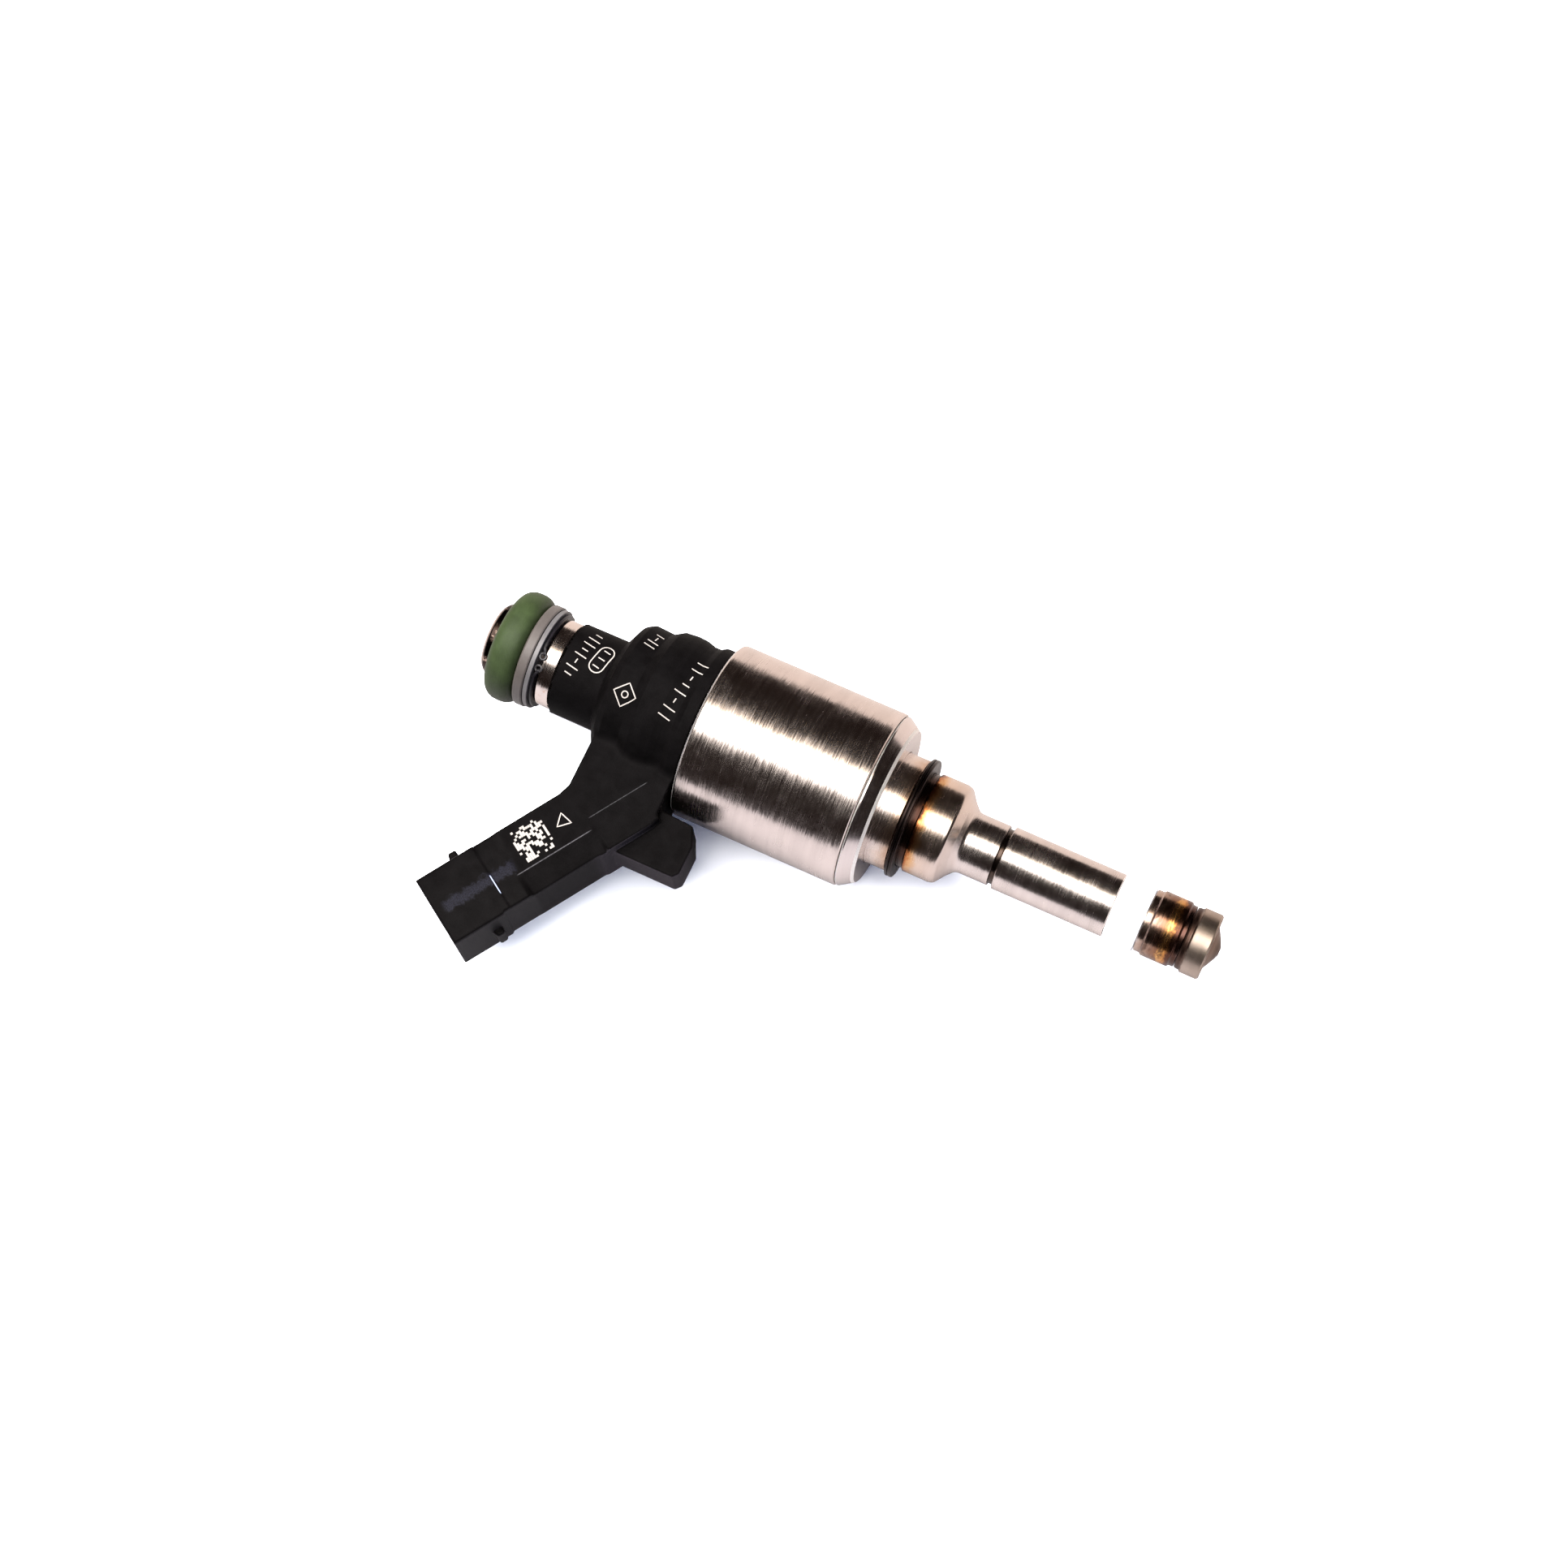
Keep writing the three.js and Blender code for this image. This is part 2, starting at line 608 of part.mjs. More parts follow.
function add(parent, name, solid, finish) {
  const mesh = new THREE.Mesh(toGeometry(solid), new THREE.MeshStandardMaterial(finish));
  mesh.name = name;
  parent.add(mesh);
}

add(fixed, "inlet_tube", inletTube(), FINISH.inletTube);
add(fixed, "inlet_filter", inletFilter(), FINISH.filter);
add(fixed, "inlet_o_ring", inletORing(), FINISH.oRing);
add(fixed, "backup_ring", backupRing(), FINISH.backupRing);
add(fixed, "spacer_ring", spacerRing(), FINISH.spacerRing);
add(fixed, "retaining_ring", retainingRing(), FINISH.retainingRing);
add(fixed, "connector_body", connectorBody(), FINISH.overmould);
for (const [side, label] of [[1, "left"], [-1, "right"]]) {
  add(fixed, "terminal_" + label, blade(side, BLADE_TIP), FINISH.terminal);
  add(fixed, "coil_lead_" + label, coilLead(side), FINISH.coilLead);
}
add(fixed, "solenoid_housing", solenoidHousing(), FINISH.housing);
add(fixed, "front_ring", frontRing(), FINISH.frontRing);
add(fixed, "rear_washer", rearWasher(), FINISH.rearWasher);
add(fixed, "coil_bobbin", coilBobbin(), FINISH.bobbin);
add(fixed, "coil_winding", coilWinding(), FINISH.winding);
add(fixed, "valve_sleeve", valveSleeve(), FINISH.valveSleeve);
add(fixed, "pole_core", poleCore(), FINISH.core);
add(fixed, "adjusting_sleeve", adjustingSleeve(), FINISH.adjustingSleeve);
add(fixed, "return_spring", returnSpring(), FINISH.spring);
add(fixed, "valve_body", valveBody(), FINISH.valveBody);
add(fixed, "snap_ring", snapRing(), FINISH.snapRing);
add(fixed, "combustion_seal", combustionSeal(), FINISH.seal);
add(fixed, "seat_body", seatBody(), FINISH.seatBody);

add(needle, "valve_needle", valveNeedle(), FINISH.needle);
add(needle, "needle_ball", needleBall(), FINISH.ball);
add(needle, "upper_collar", upperCollar(), FINISH.needleCollar);
add(needle, "lower_stop", lowerStop(), FINISH.needleCollar);
add(needle, "armature_spring", armatureSpring(), FINISH.spring);
add(slider, "armature", armature(), FINISH.core);

export default group;
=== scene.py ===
# Fuel injector: the visual model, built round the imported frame.
# The axis lies along X with the spray tip at the origin, pointing to +X; the inlet is at the -X end.
# The connector arm leans out to -X and -Y, and +Z is up.
# Turned pieces are revolved from filleted profiles; the overmould is meshed from a distance function.
# Lengths are millimetres, and x is counted from the seating shoulder, unless a comment says otherwise.
import math

import bpy
import numpy as np
from mathutils import Matrix, Vector


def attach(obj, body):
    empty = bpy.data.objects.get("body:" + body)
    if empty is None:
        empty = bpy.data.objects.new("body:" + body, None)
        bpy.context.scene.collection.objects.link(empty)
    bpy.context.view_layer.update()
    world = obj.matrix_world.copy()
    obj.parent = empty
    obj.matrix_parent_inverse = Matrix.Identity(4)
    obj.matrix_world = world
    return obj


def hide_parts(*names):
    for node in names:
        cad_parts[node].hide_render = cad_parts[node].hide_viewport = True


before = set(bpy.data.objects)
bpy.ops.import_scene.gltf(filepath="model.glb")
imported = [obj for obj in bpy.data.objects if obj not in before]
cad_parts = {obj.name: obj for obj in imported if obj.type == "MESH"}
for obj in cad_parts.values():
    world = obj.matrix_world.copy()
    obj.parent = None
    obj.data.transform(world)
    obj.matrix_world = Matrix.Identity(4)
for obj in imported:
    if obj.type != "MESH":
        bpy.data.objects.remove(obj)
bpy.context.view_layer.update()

TIP_X = 39.8  # from the seating shoulder to the spray tip
TAU = 2 * math.pi
SEGMENTS = 160  # round every turned piece
MOULD_STEP = 0.17  # grid step of the overmould
DEFAULT_FILLET = 0.04
ROOT = "injector_body"


# ------------------------------------------------------------------ meshes
def to_metres(points):
    """Millimetres from the seating shoulder to metres from the spray tip."""
    points = np.array(points, float)
    points[:, 0] -= TIP_X
    return points / 1000.0


def make_mesh(name, points, faces, normals=None, smooth=True):
    mesh = bpy.data.meshes.new(name)
    mesh.from_pydata(to_metres(points).tolist(), [], faces)
    mesh.update()
    if smooth:
        mesh.polygons.foreach_set("use_smooth", [True] * len(mesh.polygons))
    if normals is not None:
        normals = np.asarray(normals, float)
        lengths = np.linalg.norm(normals, axis=1, keepdims=True)
        normals = normals / np.maximum(lengths, 1e-12)
        mesh.normals_split_custom_set_from_vertices(normals.tolist())
    piece = bpy.data.objects.new(name, mesh)
    bpy.context.scene.collection.objects.link(piece)
    return piece


def face_outwards(piece):
    """Flips the mesh if its signed volume is negative."""
    mesh = piece.data
    points = np.zeros(len(mesh.vertices) * 3)
    mesh.vertices.foreach_get("co", points)
    mesh.calc_loop_triangles()
    triangles = np.zeros(len(mesh.loop_triangles) * 3, np.int32)
    mesh.loop_triangles.foreach_get("vertices", triangles)
    a, b, c = points.reshape(-1, 3)[triangles.reshape(-1, 3)].transpose(1, 0, 2)
    if np.einsum("ij,ij->i", a, np.cross(b, c)).sum() < 0:
        mesh.flip_normals()


def finish_piece(piece, material, replaced=None):
    piece.data.materials.clear()
    piece.data.materials.append(MATERIALS[material])
    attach(piece, ROOT)
    if replaced:
        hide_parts(replaced)


def unit(vector):
    return vector / np.linalg.norm(vector)


def left_of(direction):
    return np.array([-direction[1], direction[0]])


def round_corner(before, corner, after, fillet):
    """The (point, left normal) pairs that replace one corner of a profile."""
    length_in, length_out = np.linalg.norm(corner - before), np.linalg.norm(after - corner)
    way_in, way_out = unit(corner - before), unit(after - corner)
    normal_in, normal_out = left_of(way_in), left_of(way_out)
    turn = math.acos(float(np.clip(way_in @ way_out, -1, 1)))
    if turn < 0.02:
        return [(corner, normal_in)]
    reach = min(fillet * math.tan(turn / 2), 0.45 * length_in, 0.45 * length_out)
    radius = reach / math.tan(turn / 2)
    if radius < 1e-5:  # a sharp corner: two points all but together, one for each normal
        return [(corner, normal_in), (corner + way_out * 1e-4, normal_out)]
    side = 1.0 if way_in[0] * way_out[1] - way_in[1] * way_out[0] > 0 else -1.0
    start = corner - way_in * reach
    centre = start + normal_in * radius * side
    largest_step = math.radians(11) if radius > 0.15 else math.radians(24)
    steps = max(2, int(math.ceil(turn / largest_step)))
    start_angle = math.atan2(*(start - centre)[::-1])
    arc = []
    for j in range(steps + 1):
        angle = start_angle + side * turn * j / steps
        turned_by = turn * j / steps
        point = centre + radius * np.array([math.cos(angle), math.sin(angle)])
        across = left_of(normal_in) * side
        arc.append((point, normal_in * math.cos(turned_by) + across * math.sin(turned_by)))
    return arc


def round_profile(profile, on_axis):
    """Dense points and left normals of a profile of (x, radius[, fillet])."""
    loop = [(p[0], p[1], p[2] if len(p) > 2 else DEFAULT_FILLET) for p in profile]
    count = len(loop)
    if on_axis:  # mirrored below the axis, so that the end points have neighbours
        loop += [(x, -r, fillet) for x, r, fillet in loop[-2:0:-1]]
    pairs = []
    for i in range(count):
        before, corner, after = (np.array(loop[(i + d) % len(loop)][:2]) for d in (-1, 0, 1))
        if on_axis and i in (0, count - 1):
            normal = (left_of(unit(corner - before)) + left_of(unit(after - corner))) / 2
            pairs.append((corner, normal))
        else:
            pairs += round_corner(before, corner, after, loop[i][2])
    points, normals = zip(*pairs)
    return np.array(points), np.array(normals)


def turned_piece(node, profile, material, on_axis=False):
    """Revolves a closed profile, or with on_axis one whose two ends lie on the axis."""
    points, normals = round_profile(profile, on_axis)
    following = np.roll(points, -1, axis=0)
    area = 0.5 * np.sum(points[:, 0] * following[:, 1] - following[:, 0] * points[:, 1])
    anticlockwise = area > 0
    if anticlockwise:  # the left normal points inwards
        normals = -normals
    angles = np.arange(SEGMENTS) * TAU / SEGMENTS
    spokes = list(zip(np.cos(angles), np.sin(angles)))
    verts, vert_normals, rows = [], [], []
    for (x, r), (normal_x, normal_r) in zip(points, normals):
        base = len(verts)
        if r < 1e-9:
            rows.append([base])
            verts.append((x, 0, 0))
            vert_normals.append((normal_x, 0, 0))
        else:
            rows.append(range(base, base + SEGMENTS))
            verts += [(x, r * c, r * s) for c, s in spokes]
            vert_normals += [(normal_x, normal_r * c, normal_r * s) for c, s in spokes]
    faces = []
    for here, there in zip(rows, rows[1:] if on_axis else rows[1:] + rows[:1]):
        for k in range(SEGMENTS):
            k2 = (k + 1) % SEGMENTS
            if len(here) == 1:
                face = [here[0], there[k2], there[k]]
            elif len(there) == 1:
                face = [here[k], here[k2], there[0]]
            else:
                face = [here[k], here[k2], there[k2], there[k]]
            faces.append(face[::-1] if anticlockwise else face)
    piece = make_mesh(node + "_fine", verts, faces, vert_normals)
    finish_piece(piece, material, node)


def corner_angles(steps):
    """(sign, sign, angle) round the four corners of a rounded rectangle."""
    for sign_a, sign_b, first in ((1, 1, 0), (-1, 1, 90), (-1, -1, 180), (1, -1, 270)):
        for i in range(steps + 1):
            yield sign_a, sign_b, math.radians(first + 90 * i / steps)


def tube_faces(base, rings, around, closed):
    """Quads over rings of vertices that start at index base."""
    faces = []
    for i in range(rings if closed else rings - 1):
        near = base + i * around
        far = base + (i + 1) % rings * around
        for k in range(around):
            k2 = (k + 1) % around
            faces.append([near + k, near + k2, far + k2, far + k])
    return faces


# ------------------------------------------------------------------ distance functions
def polygon_distance(x, y, corners):
    corners = np.asarray(corners, float)
    squared = (x - corners[0, 0]) ** 2 + (y - corners[0, 1]) ** 2
    sign = np.ones(np.broadcast(x, y).shape)
    for i in range(len(corners)):
        here, previous = corners[i], corners[i - 1]
        edge_x, edge_y = previous - here
        from_x, from_y = x - here[0], y - here[1]
        length_squared = edge_x * edge_x + edge_y * edge_y
        share = np.clip((from_x * edge_x + from_y * edge_y) / length_squared, 0, 1)
        off_x, off_y = from_x - edge_x * share, from_y - edge_y * share
        squared = np.minimum(squared, off_x * off_x + off_y * off_y)
        above, below = y >= here[1], y < previous[1]
        left = edge_x * from_y > edge_y * from_x
        sign = np.where((above & below & left) | (~above & ~below & ~left), -sign, sign)
    return sign * np.sqrt(squared)


def inset(corners, depth):
    """The polygon moved inwards by depth."""
    corners = np.asarray(corners, float)
    following = np.roll(corners, -1, axis=0)
    area = 0.5 * np.sum(corners[:, 0] * following[:, 1] - following[:, 0] * corners[:, 1])
    if area < 0:
        corners = corners[::-1]
    moved = []
    for i in range(len(corners)):
        before, corner, after = corners[i - 1], corners[i], corners[(i + 1) % len(corners)]
        normal_in, normal_out = left_of(unit(corner - before)), left_of(unit(after - corner))
        stretch = max(1 + normal_in @ normal_out, 0.2)
        moved.append(corner + (normal_in + normal_out) * depth / stretch)
    return np.array(moved)


def rounded_polygon(x, y, corners, radius):
    return polygon_distance(x, y, inset(corners, radius)) - radius


def slab(plan, z, low, high, edge):
    """A flat outline of distance plan, made solid from low to high, edges rounded by edge."""
    sideways = plan + edge
    upright = np.abs(z - (low + high) / 2) - (high - low) / 2 + edge
    outside = np.hypot(np.maximum(sideways, 0), np.maximum(upright, 0))
    return np.minimum(np.maximum(sideways, upright), 0) + outside - edge


def blend_min(a, b, width):
    share = np.clip(0.5 + 0.5 * (b - a) / width, 0, 1)
    return b + (a - b) * share - width * share * (1 - share)


def blend_max(a, b, width):
    return -blend_min(-a, -b, width)


def ease(value, start, end):
    share = np.clip((value - start) / (end - start), 0, 1)
    return share * share * (3 - 2 * share)


CELL_CORNERS = [(i, j, k) for i in (0, 1) for j in (0, 1) for k in (0, 1)]
CELL_EDGES = [
    (a, b) for a in CELL_CORNERS for b in CELL_CORNERS
    if sum(abs(a[q] - b[q]) for q in range(3)) == 1 and a < b
]


def gradient(distance, points):
    reach = 0.02
    slopes = np.zeros_like(points)
    for i in range(3):
        offset = np.zeros(3)
        offset[i] = reach
        slopes[:, i] = (distance(*(points + offset).T) - distance(*(points - offset).T)) / (2 * reach)
    return slopes


def surface_nets(distance, low, high, step):
    """Meshes distance < 0 on a grid, then moves each vertex onto the surface.

    Returns vertices, quads and normals."""
    axes = [np.arange(low[i], high[i] + step, step) for i in range(3)]
    field = distance(axes[0][:, None, None], axes[1][None, :, None], axes[2][None, None, :])
    field = np.broadcast_to(field, [len(axis) for axis in axes]).astype(np.float32)
    inside = field < 0
    nx, ny, nz = inside.shape
    total = sum(
        inside[i : nx - 1 + i, j : ny - 1 + j, k : nz - 1 + k].astype(np.int8)
        for i, j, k in CELL_CORNERS
    )
    crossed = (total > 0) & (total < 8)
    index = np.full(crossed.shape, -1, np.int64)
    cells = np.argwhere(crossed)
    index[crossed] = np.arange(len(cells))

    # one vertex for each crossed cell, at the mean of its edge crossings
    crossing_sum = np.zeros((len(cells), 3))
    crossing_count = np.zeros(len(cells))
    for a, b in CELL_EDGES:
        at_a = field[cells[:, 0] + a[0], cells[:, 1] + a[1], cells[:, 2] + a[2]]
        at_b = field[cells[:, 0] + b[0], cells[:, 1] + b[1], cells[:, 2] + b[2]]
        hit = (at_a < 0) != (at_b < 0)
        share = at_a[hit] / (at_a[hit] - at_b[hit])
        crossing_sum[hit] += np.array(a) + share[:, None] * (np.array(b) - np.array(a))
        crossing_count[hit] += 1
    points = (cells + crossing_sum / crossing_count[:, None]) * step + np.array(low)

    # one quad for each grid edge that passes through the surface
    quads = []
    for axis, (side_a, side_b) in enumerate([(1, 2), (2, 0), (0, 1)]):
        first, second = [slice(None)] * 3, [slice(None)] * 3
        first[axis] = slice(0, -1)
        second[axis] = slice(1, None)
        starts, ends = inside[tuple(first)], inside[tuple(second)]
        edges = np.argwhere(starts != ends)
        within = (edges[:, side_a] > 0) & (edges[:, side_b] > 0)
        within &= edges[:, side_a] < crossed.shape[side_a]
        within &= edges[:, side_b] < crossed.shape[side_b]
        edges = edges[within]
        starts_inside = starts[edges[:, 0], edges[:, 1], edges[:, 2]]
        step_a, step_b = np.zeros(3, int), np.zeros(3, int)
        step_a[side_a], step_b[side_b] = 1, 1
        ring = []
        for shift in (-step_a - step_b, -step_b, np.zeros(3, int), -step_a):
            near = edges + shift
            ring.append(index[near[:, 0], near[:, 1], near[:, 2]])
        ring = np.stack(ring, 1)
        ring[~starts_inside] = ring[~starts_inside][:, ::-1]
        quads.append(ring)

    for _ in range(3):
        value = distance(*points.T)
        slope = gradient(distance, points)
        move = (value / np.maximum((slope * slope).sum(1), 0.05))[:, None] * slope
        length = np.linalg.norm(move, axis=1, keepdims=True)
        move *= np.minimum(1, 0.5 * step / np.maximum(length, 1e-9))
        points = points - move
    return points, np.concatenate(quads), gradient(distance, points)


# ------------------------------------------------------------------ overmould shape
# The arm's own plan frame: along it from its foot, and across it, positive towards +X.
ARM_ANGLE = math.radians(57.3)
ARM_ALONG = np.array([-math.cos(ARM_ANGLE), -math.sin(ARM_ANGLE)])
ARM_ACROSS = np.array([math.sin(ARM_ANGLE), -math.cos(ARM_ANGLE)])
ARM_FOOT = ARM_ACROSS * -15.65
ARM_END = 48.85
FLAT_TOP = 4.6  # z of the shank's top


def arm_point(across, along):
    return ARM_FOOT + ARM_ACROSS * across + ARM_ALONG * along


def arm_coords(x, y):
    dx, dy = x - ARM_FOOT[0], y - ARM_FOOT[1]
    across = dx * ARM_ACROSS[0] + dy * ARM_ACROSS[1]
    along = dx * ARM_ALONG[0] + dy * ARM_ALONG[1]
    return across, along


BORE = 4.35  # radii of the overmould's bore, of the recess at its inlet end and of its skirt
RECESS = 5.36
SKIRT = 9.05
SHELL_X = -22.3  # where the solenoid shell begins

# The round part: (x, radius)
BODY_PROFILE = [
    (-39.9, BORE), (-39.9, RECESS), (-39.7, 5.45), (-34.25, 5.48), (-33.0, 7.95), (-32.2, 8.4),
    (-29.9, 8.28), (-28.75, 9.0), (-27.3, 9.14), (-26.2, 9.06), (-25.2, 8.78), (-24.4, 8.76),
    (-23.6, 9.18), (SHELL_X, 9.2), (SHELL_X, SKIRT), (-20.2, SKIRT), (-20.2, BORE),
]
# Plan outlines: (x, y)
BLOCK = [
    (-32.6, -1), (-32.6, -13.45), arm_point(-4.2, 30.15), arm_point(4.2, 30.15),
    arm_point(4.2, 28), (SHELL_X, -13.55), (SHELL_X, -1),
]
TAB = [
    (-26.6, -17.9), (-17.95, -17.9), (-17.35, -17.2), (-17.35, -13.75), (-18.15, -12.1),
    (-18.35, -11.6), (-21.9, -11.4), (-24.5, -11.35),
]
# Latch lugs: side, outer reach across the arm, top z
LUGS = [(-1, -5.44, 3.1), (1, 5.12, 0.9)]


def slot_outline():
    """Plan of the bent slot that a terminal blade lies in."""
    half = 0.9
    bend, end = 19.1, 40.8  # along the arm
    foot_x = -19.0
    foot_y = arm_point(0, bend)[1]
    mitre = half * math.tan(ARM_ANGLE / 2)
    return [
        arm_point(-half, end), arm_point(-half, bend - mitre), (foot_x, foot_y + half),
        (foot_x, foot_y - half), arm_point(half, bend + mitre), arm_point(half, end),
    ]


BLADE_SLOT = slot_outline()


def folded_top(across, start, slope):
    """The flat top, falling away past a shallow fold."""
    past = np.clip((across - start) / 0.25, 0, None)
    return FLAT_TOP - slope * np.where(past < 1, past * past / 2, past - 0.5)


def arm_body(x, y, z):
    """Block, shank and socket hood: one plan outline under a shaped top and bottom."""
    across, along = arm_coords(x, y)
    hood = ease(along, 38.4, 39.3)
    mouth = ease(along, 41.4, 41.75)
    collar = ease(along, 42.25, 42.6)
    # half widths: the hood stands a little proud of the shank
    half_plus = 4.12 + 0.17 * collar
    half_minus = 4.22 + 0.07 * hood + 0.05 * mouth
    side = np.maximum(across - half_plus, -across - half_minus)
    shank = np.maximum(side, np.maximum(22.5 - along, along - ARM_END))
    plan = blend_min(rounded_polygon(x, y, BLOCK, 0.35), shank, 0.35)
    # top: flat over the block, folded along the shank, then a low crown over the socket
    crown = 4.66 - 0.018 * across * across + 0.11 * mouth
    outer_fold = folded_top(across, 1.3, 0.075)
    inner_fold = folded_top(across, -0.05, 0.022)
    outward = ease(along, 28.9, 29.5)
    on_block = ease(21.5 - along, 0, 1.5)
    shank_top = inner_fold * (1 - outward) + outer_fold * outward
    shank_top = shank_top * (1 - on_block) + FLAT_TOP * on_block
    top = z - (shank_top * (1 - hood) + crown * hood)
    bottom = -z - (4.3 + 0.1 * collar)
    edge = 0.3 + 0.12 * hood
    return blend_max(blend_max(plan, top * 0.985, edge), bottom * 0.985, edge)


def overmould_distance(x, y, z):
    radius = np.hypot(y, z)
    across, along = arm_coords(x, y)
    round_part = rounded_polygon(x, radius, BODY_PROFILE, 0.12)
    arm = blend_max(arm_body(x, y, z), along - ARM_END, 0.18)
    for side, reach, top in LUGS:
        outline = [arm_point(side * 3.7, 43.25), arm_point(reach, 43.3),
                   arm_point(reach, 44.25), arm_point(side * 3.7, 44.75)]
        lug = slab(rounded_polygon(x, y, outline, 0.3), z, -2.4, top, 0.3)
        arm = blend_min(arm, lug, 0.15)
    tab = slab(rounded_polygon(x, y, TAB, 0.4), z, -2.7, 2.7, 0.28)
    arm = blend_min(arm, tab, 0.45)
    # the arm stays clear of the solenoid shell
    arm = blend_max(arm, -np.maximum(-22.35 - x, radius - 11.22), 0.15)
    arm = np.maximum(arm, BORE - radius)
    solid = np.maximum(blend_min(round_part, arm, 0.6), BORE - radius)
    # room round the skirt, and the recess at the inlet end
    shell_room = np.maximum(SHELL_X - x, np.maximum(SKIRT - radius, radius - 11.12))
    solid = np.maximum(solid, -shell_room)
    solid = np.maximum(solid, -np.maximum(radius - RECESS, x + 39.66))
    # the socket, a keyway in its floor and the slots for the two blades
    socket = [(-3.25, 40.3), (3.25, 40.3), (3.25, 52), (-3.25, 52)]
    cavity = slab(rounded_polygon(across, along, socket, 0.5), z, -3.35, 3.45, 0.6)
    solid = blend_max(solid, -cavity, 0.12)
    keyway = [(-0.6, 41.8), (0.6, 41.8), (0.6, 52), (-0.6, 52)]
    cut = slab(rounded_polygon(across, along, keyway, 0.15), z, -4.0, -3.0, 0.1)
    solid = blend_max(solid, -cut, 0.05)
    for middle in (-1.9, 1.9):
        plan = polygon_distance(x, y, BLADE_SLOT)
        solid = np.maximum(solid, -slab(plan, z, middle - 0.4, middle + 0.4, 0.02))
    return solid


# ------------------------------------------------------------------ shader nodes
MATERIALS = {}


class NodeNet:
    """Adds nodes to a tree. A value may be a constant or another node's output socket."""

    def __init__(self, tree):
        self.tree = tree
        tree.nodes.clear()

    def fill(self, node, inputs):
        for key, value in inputs.items():
            if isinstance(value, bpy.types.NodeSocket):
                self.tree.links.new(value, node.inputs[key])
            else:
                node.inputs[key].default_value = value

    def add(self, kind, inputs=None, **props):
        node = self.tree.nodes.new(kind)
        for key, value in props.items():
            setattr(node, key, value)
        self.fill(node, inputs or {})
        return node

    def noise(self, along, across=None, detail=3.0, rough=0.55, distortion=0.0):
        """Noise with so many features to the millimetre along X and across it (default: as along)."""
        across = along if across is None else across
        place = self.add("ShaderNodeTexCoord").outputs["Object"]
        scale = (1000.0 * along, 1000.0 * across, 1000.0 * across)
        stretched = self.add("ShaderNodeMapping", {0: place, "Scale": scale}).outputs[0]
        return self.add("ShaderNodeTexNoise", {
            "Vector": stretched, "Scale": 1.0, "Detail": detail, "Roughness": rough,
            "Distortion": distortion}).outputs["Fac"]

    def remap(self, value, source, target=(0, 1), smooth=False):
        """Carries the range source to the range target."""
        node = self.add("ShaderNodeMapRange", {
            "Value": value, "From Min": source[0], "From Max": source[1],
            "To Min": target[0], "To Max": target[1]})
        if smooth:
            node.interpolation_type = "SMOOTHSTEP"
        return node.outputs[0]

    def math(self, operation, *values):
        return self.add("ShaderNodeMath", dict(enumerate(values)), operation=operation).outputs[0]

    def plus(self, a, b):
        return self.math("ADD", a, b)

    def times(self, a, b):
        return self.math("MULTIPLY", a, b)

    def vector(self, operation, inputs):
        return self.add("ShaderNodeVectorMath", inputs, operation=operation).outputs[0]

    def mix(self, share, a, b, blend="MIX"):
        inputs = {0: share}
        for key, colour in ((6, a), (7, b)):
            is_socket = isinstance(colour, bpy.types.NodeSocket)
            inputs[key] = colour if is_socket else (*colour, 1.0)
        return self.add("ShaderNodeMix", inputs, data_type="RGBA", blend_type=blend).outputs[2]

    def tint(self, a, b):
        return self.mix(1.0, a, b, "MULTIPLY")

    def mix_shader(self, share, a, b):
        inputs = {0: share, 1: a.outputs[0], 2: b.outputs[0]}
        return self.add("ShaderNodeMixShader", inputs)

    def ramp(self, value, source, stops):
        """Colours over the range source; each stop is (share of the range, colour)."""
        node = self.add("ShaderNodeValToRGB", {0: self.remap(value, source)})
        elements = node.color_ramp.elements
        elements.remove(elements[-1])
        elements[0].position = stops[0][0]
        elements[0].color = (*stops[0][1], 1)
        for place, colour in stops[1:]:
            elements.new(place).color = (*colour, 1)
        return node.outputs[0]

    def object_xyz(self):
        """Metres from the object's origin, one output for each axis."""
        place = self.add("ShaderNodeTexCoord").outputs["Object"]
        return self.add("ShaderNodeSeparateXYZ", {0: place}).outputs

    def axial_x(self):
        """Millimetres along the axis from the seating shoulder."""
        return self.math("MULTIPLY_ADD", self.object_xyz()[0], 1000.0, TIP_X)

    def waver(self, x, noise, reach):
        return self.plus(x, self.remap(noise, (0.3, 0.7), (-reach, reach)))


def new_material(name):
    material = bpy.data.materials.new(name)
    material.use_nodes = True
    MATERIALS[name] = material
    net = NodeNet(material.node_tree)
    net.sink = net.add("ShaderNodeOutputMaterial")
    net.bsdf = net.add("ShaderNodeBsdfPrincipled")
    net.fill(net.sink, {0: net.bsdf.outputs[0]})
    return net


def scaled(colour, factor):
    return [min(1, c * factor) for c in colour]


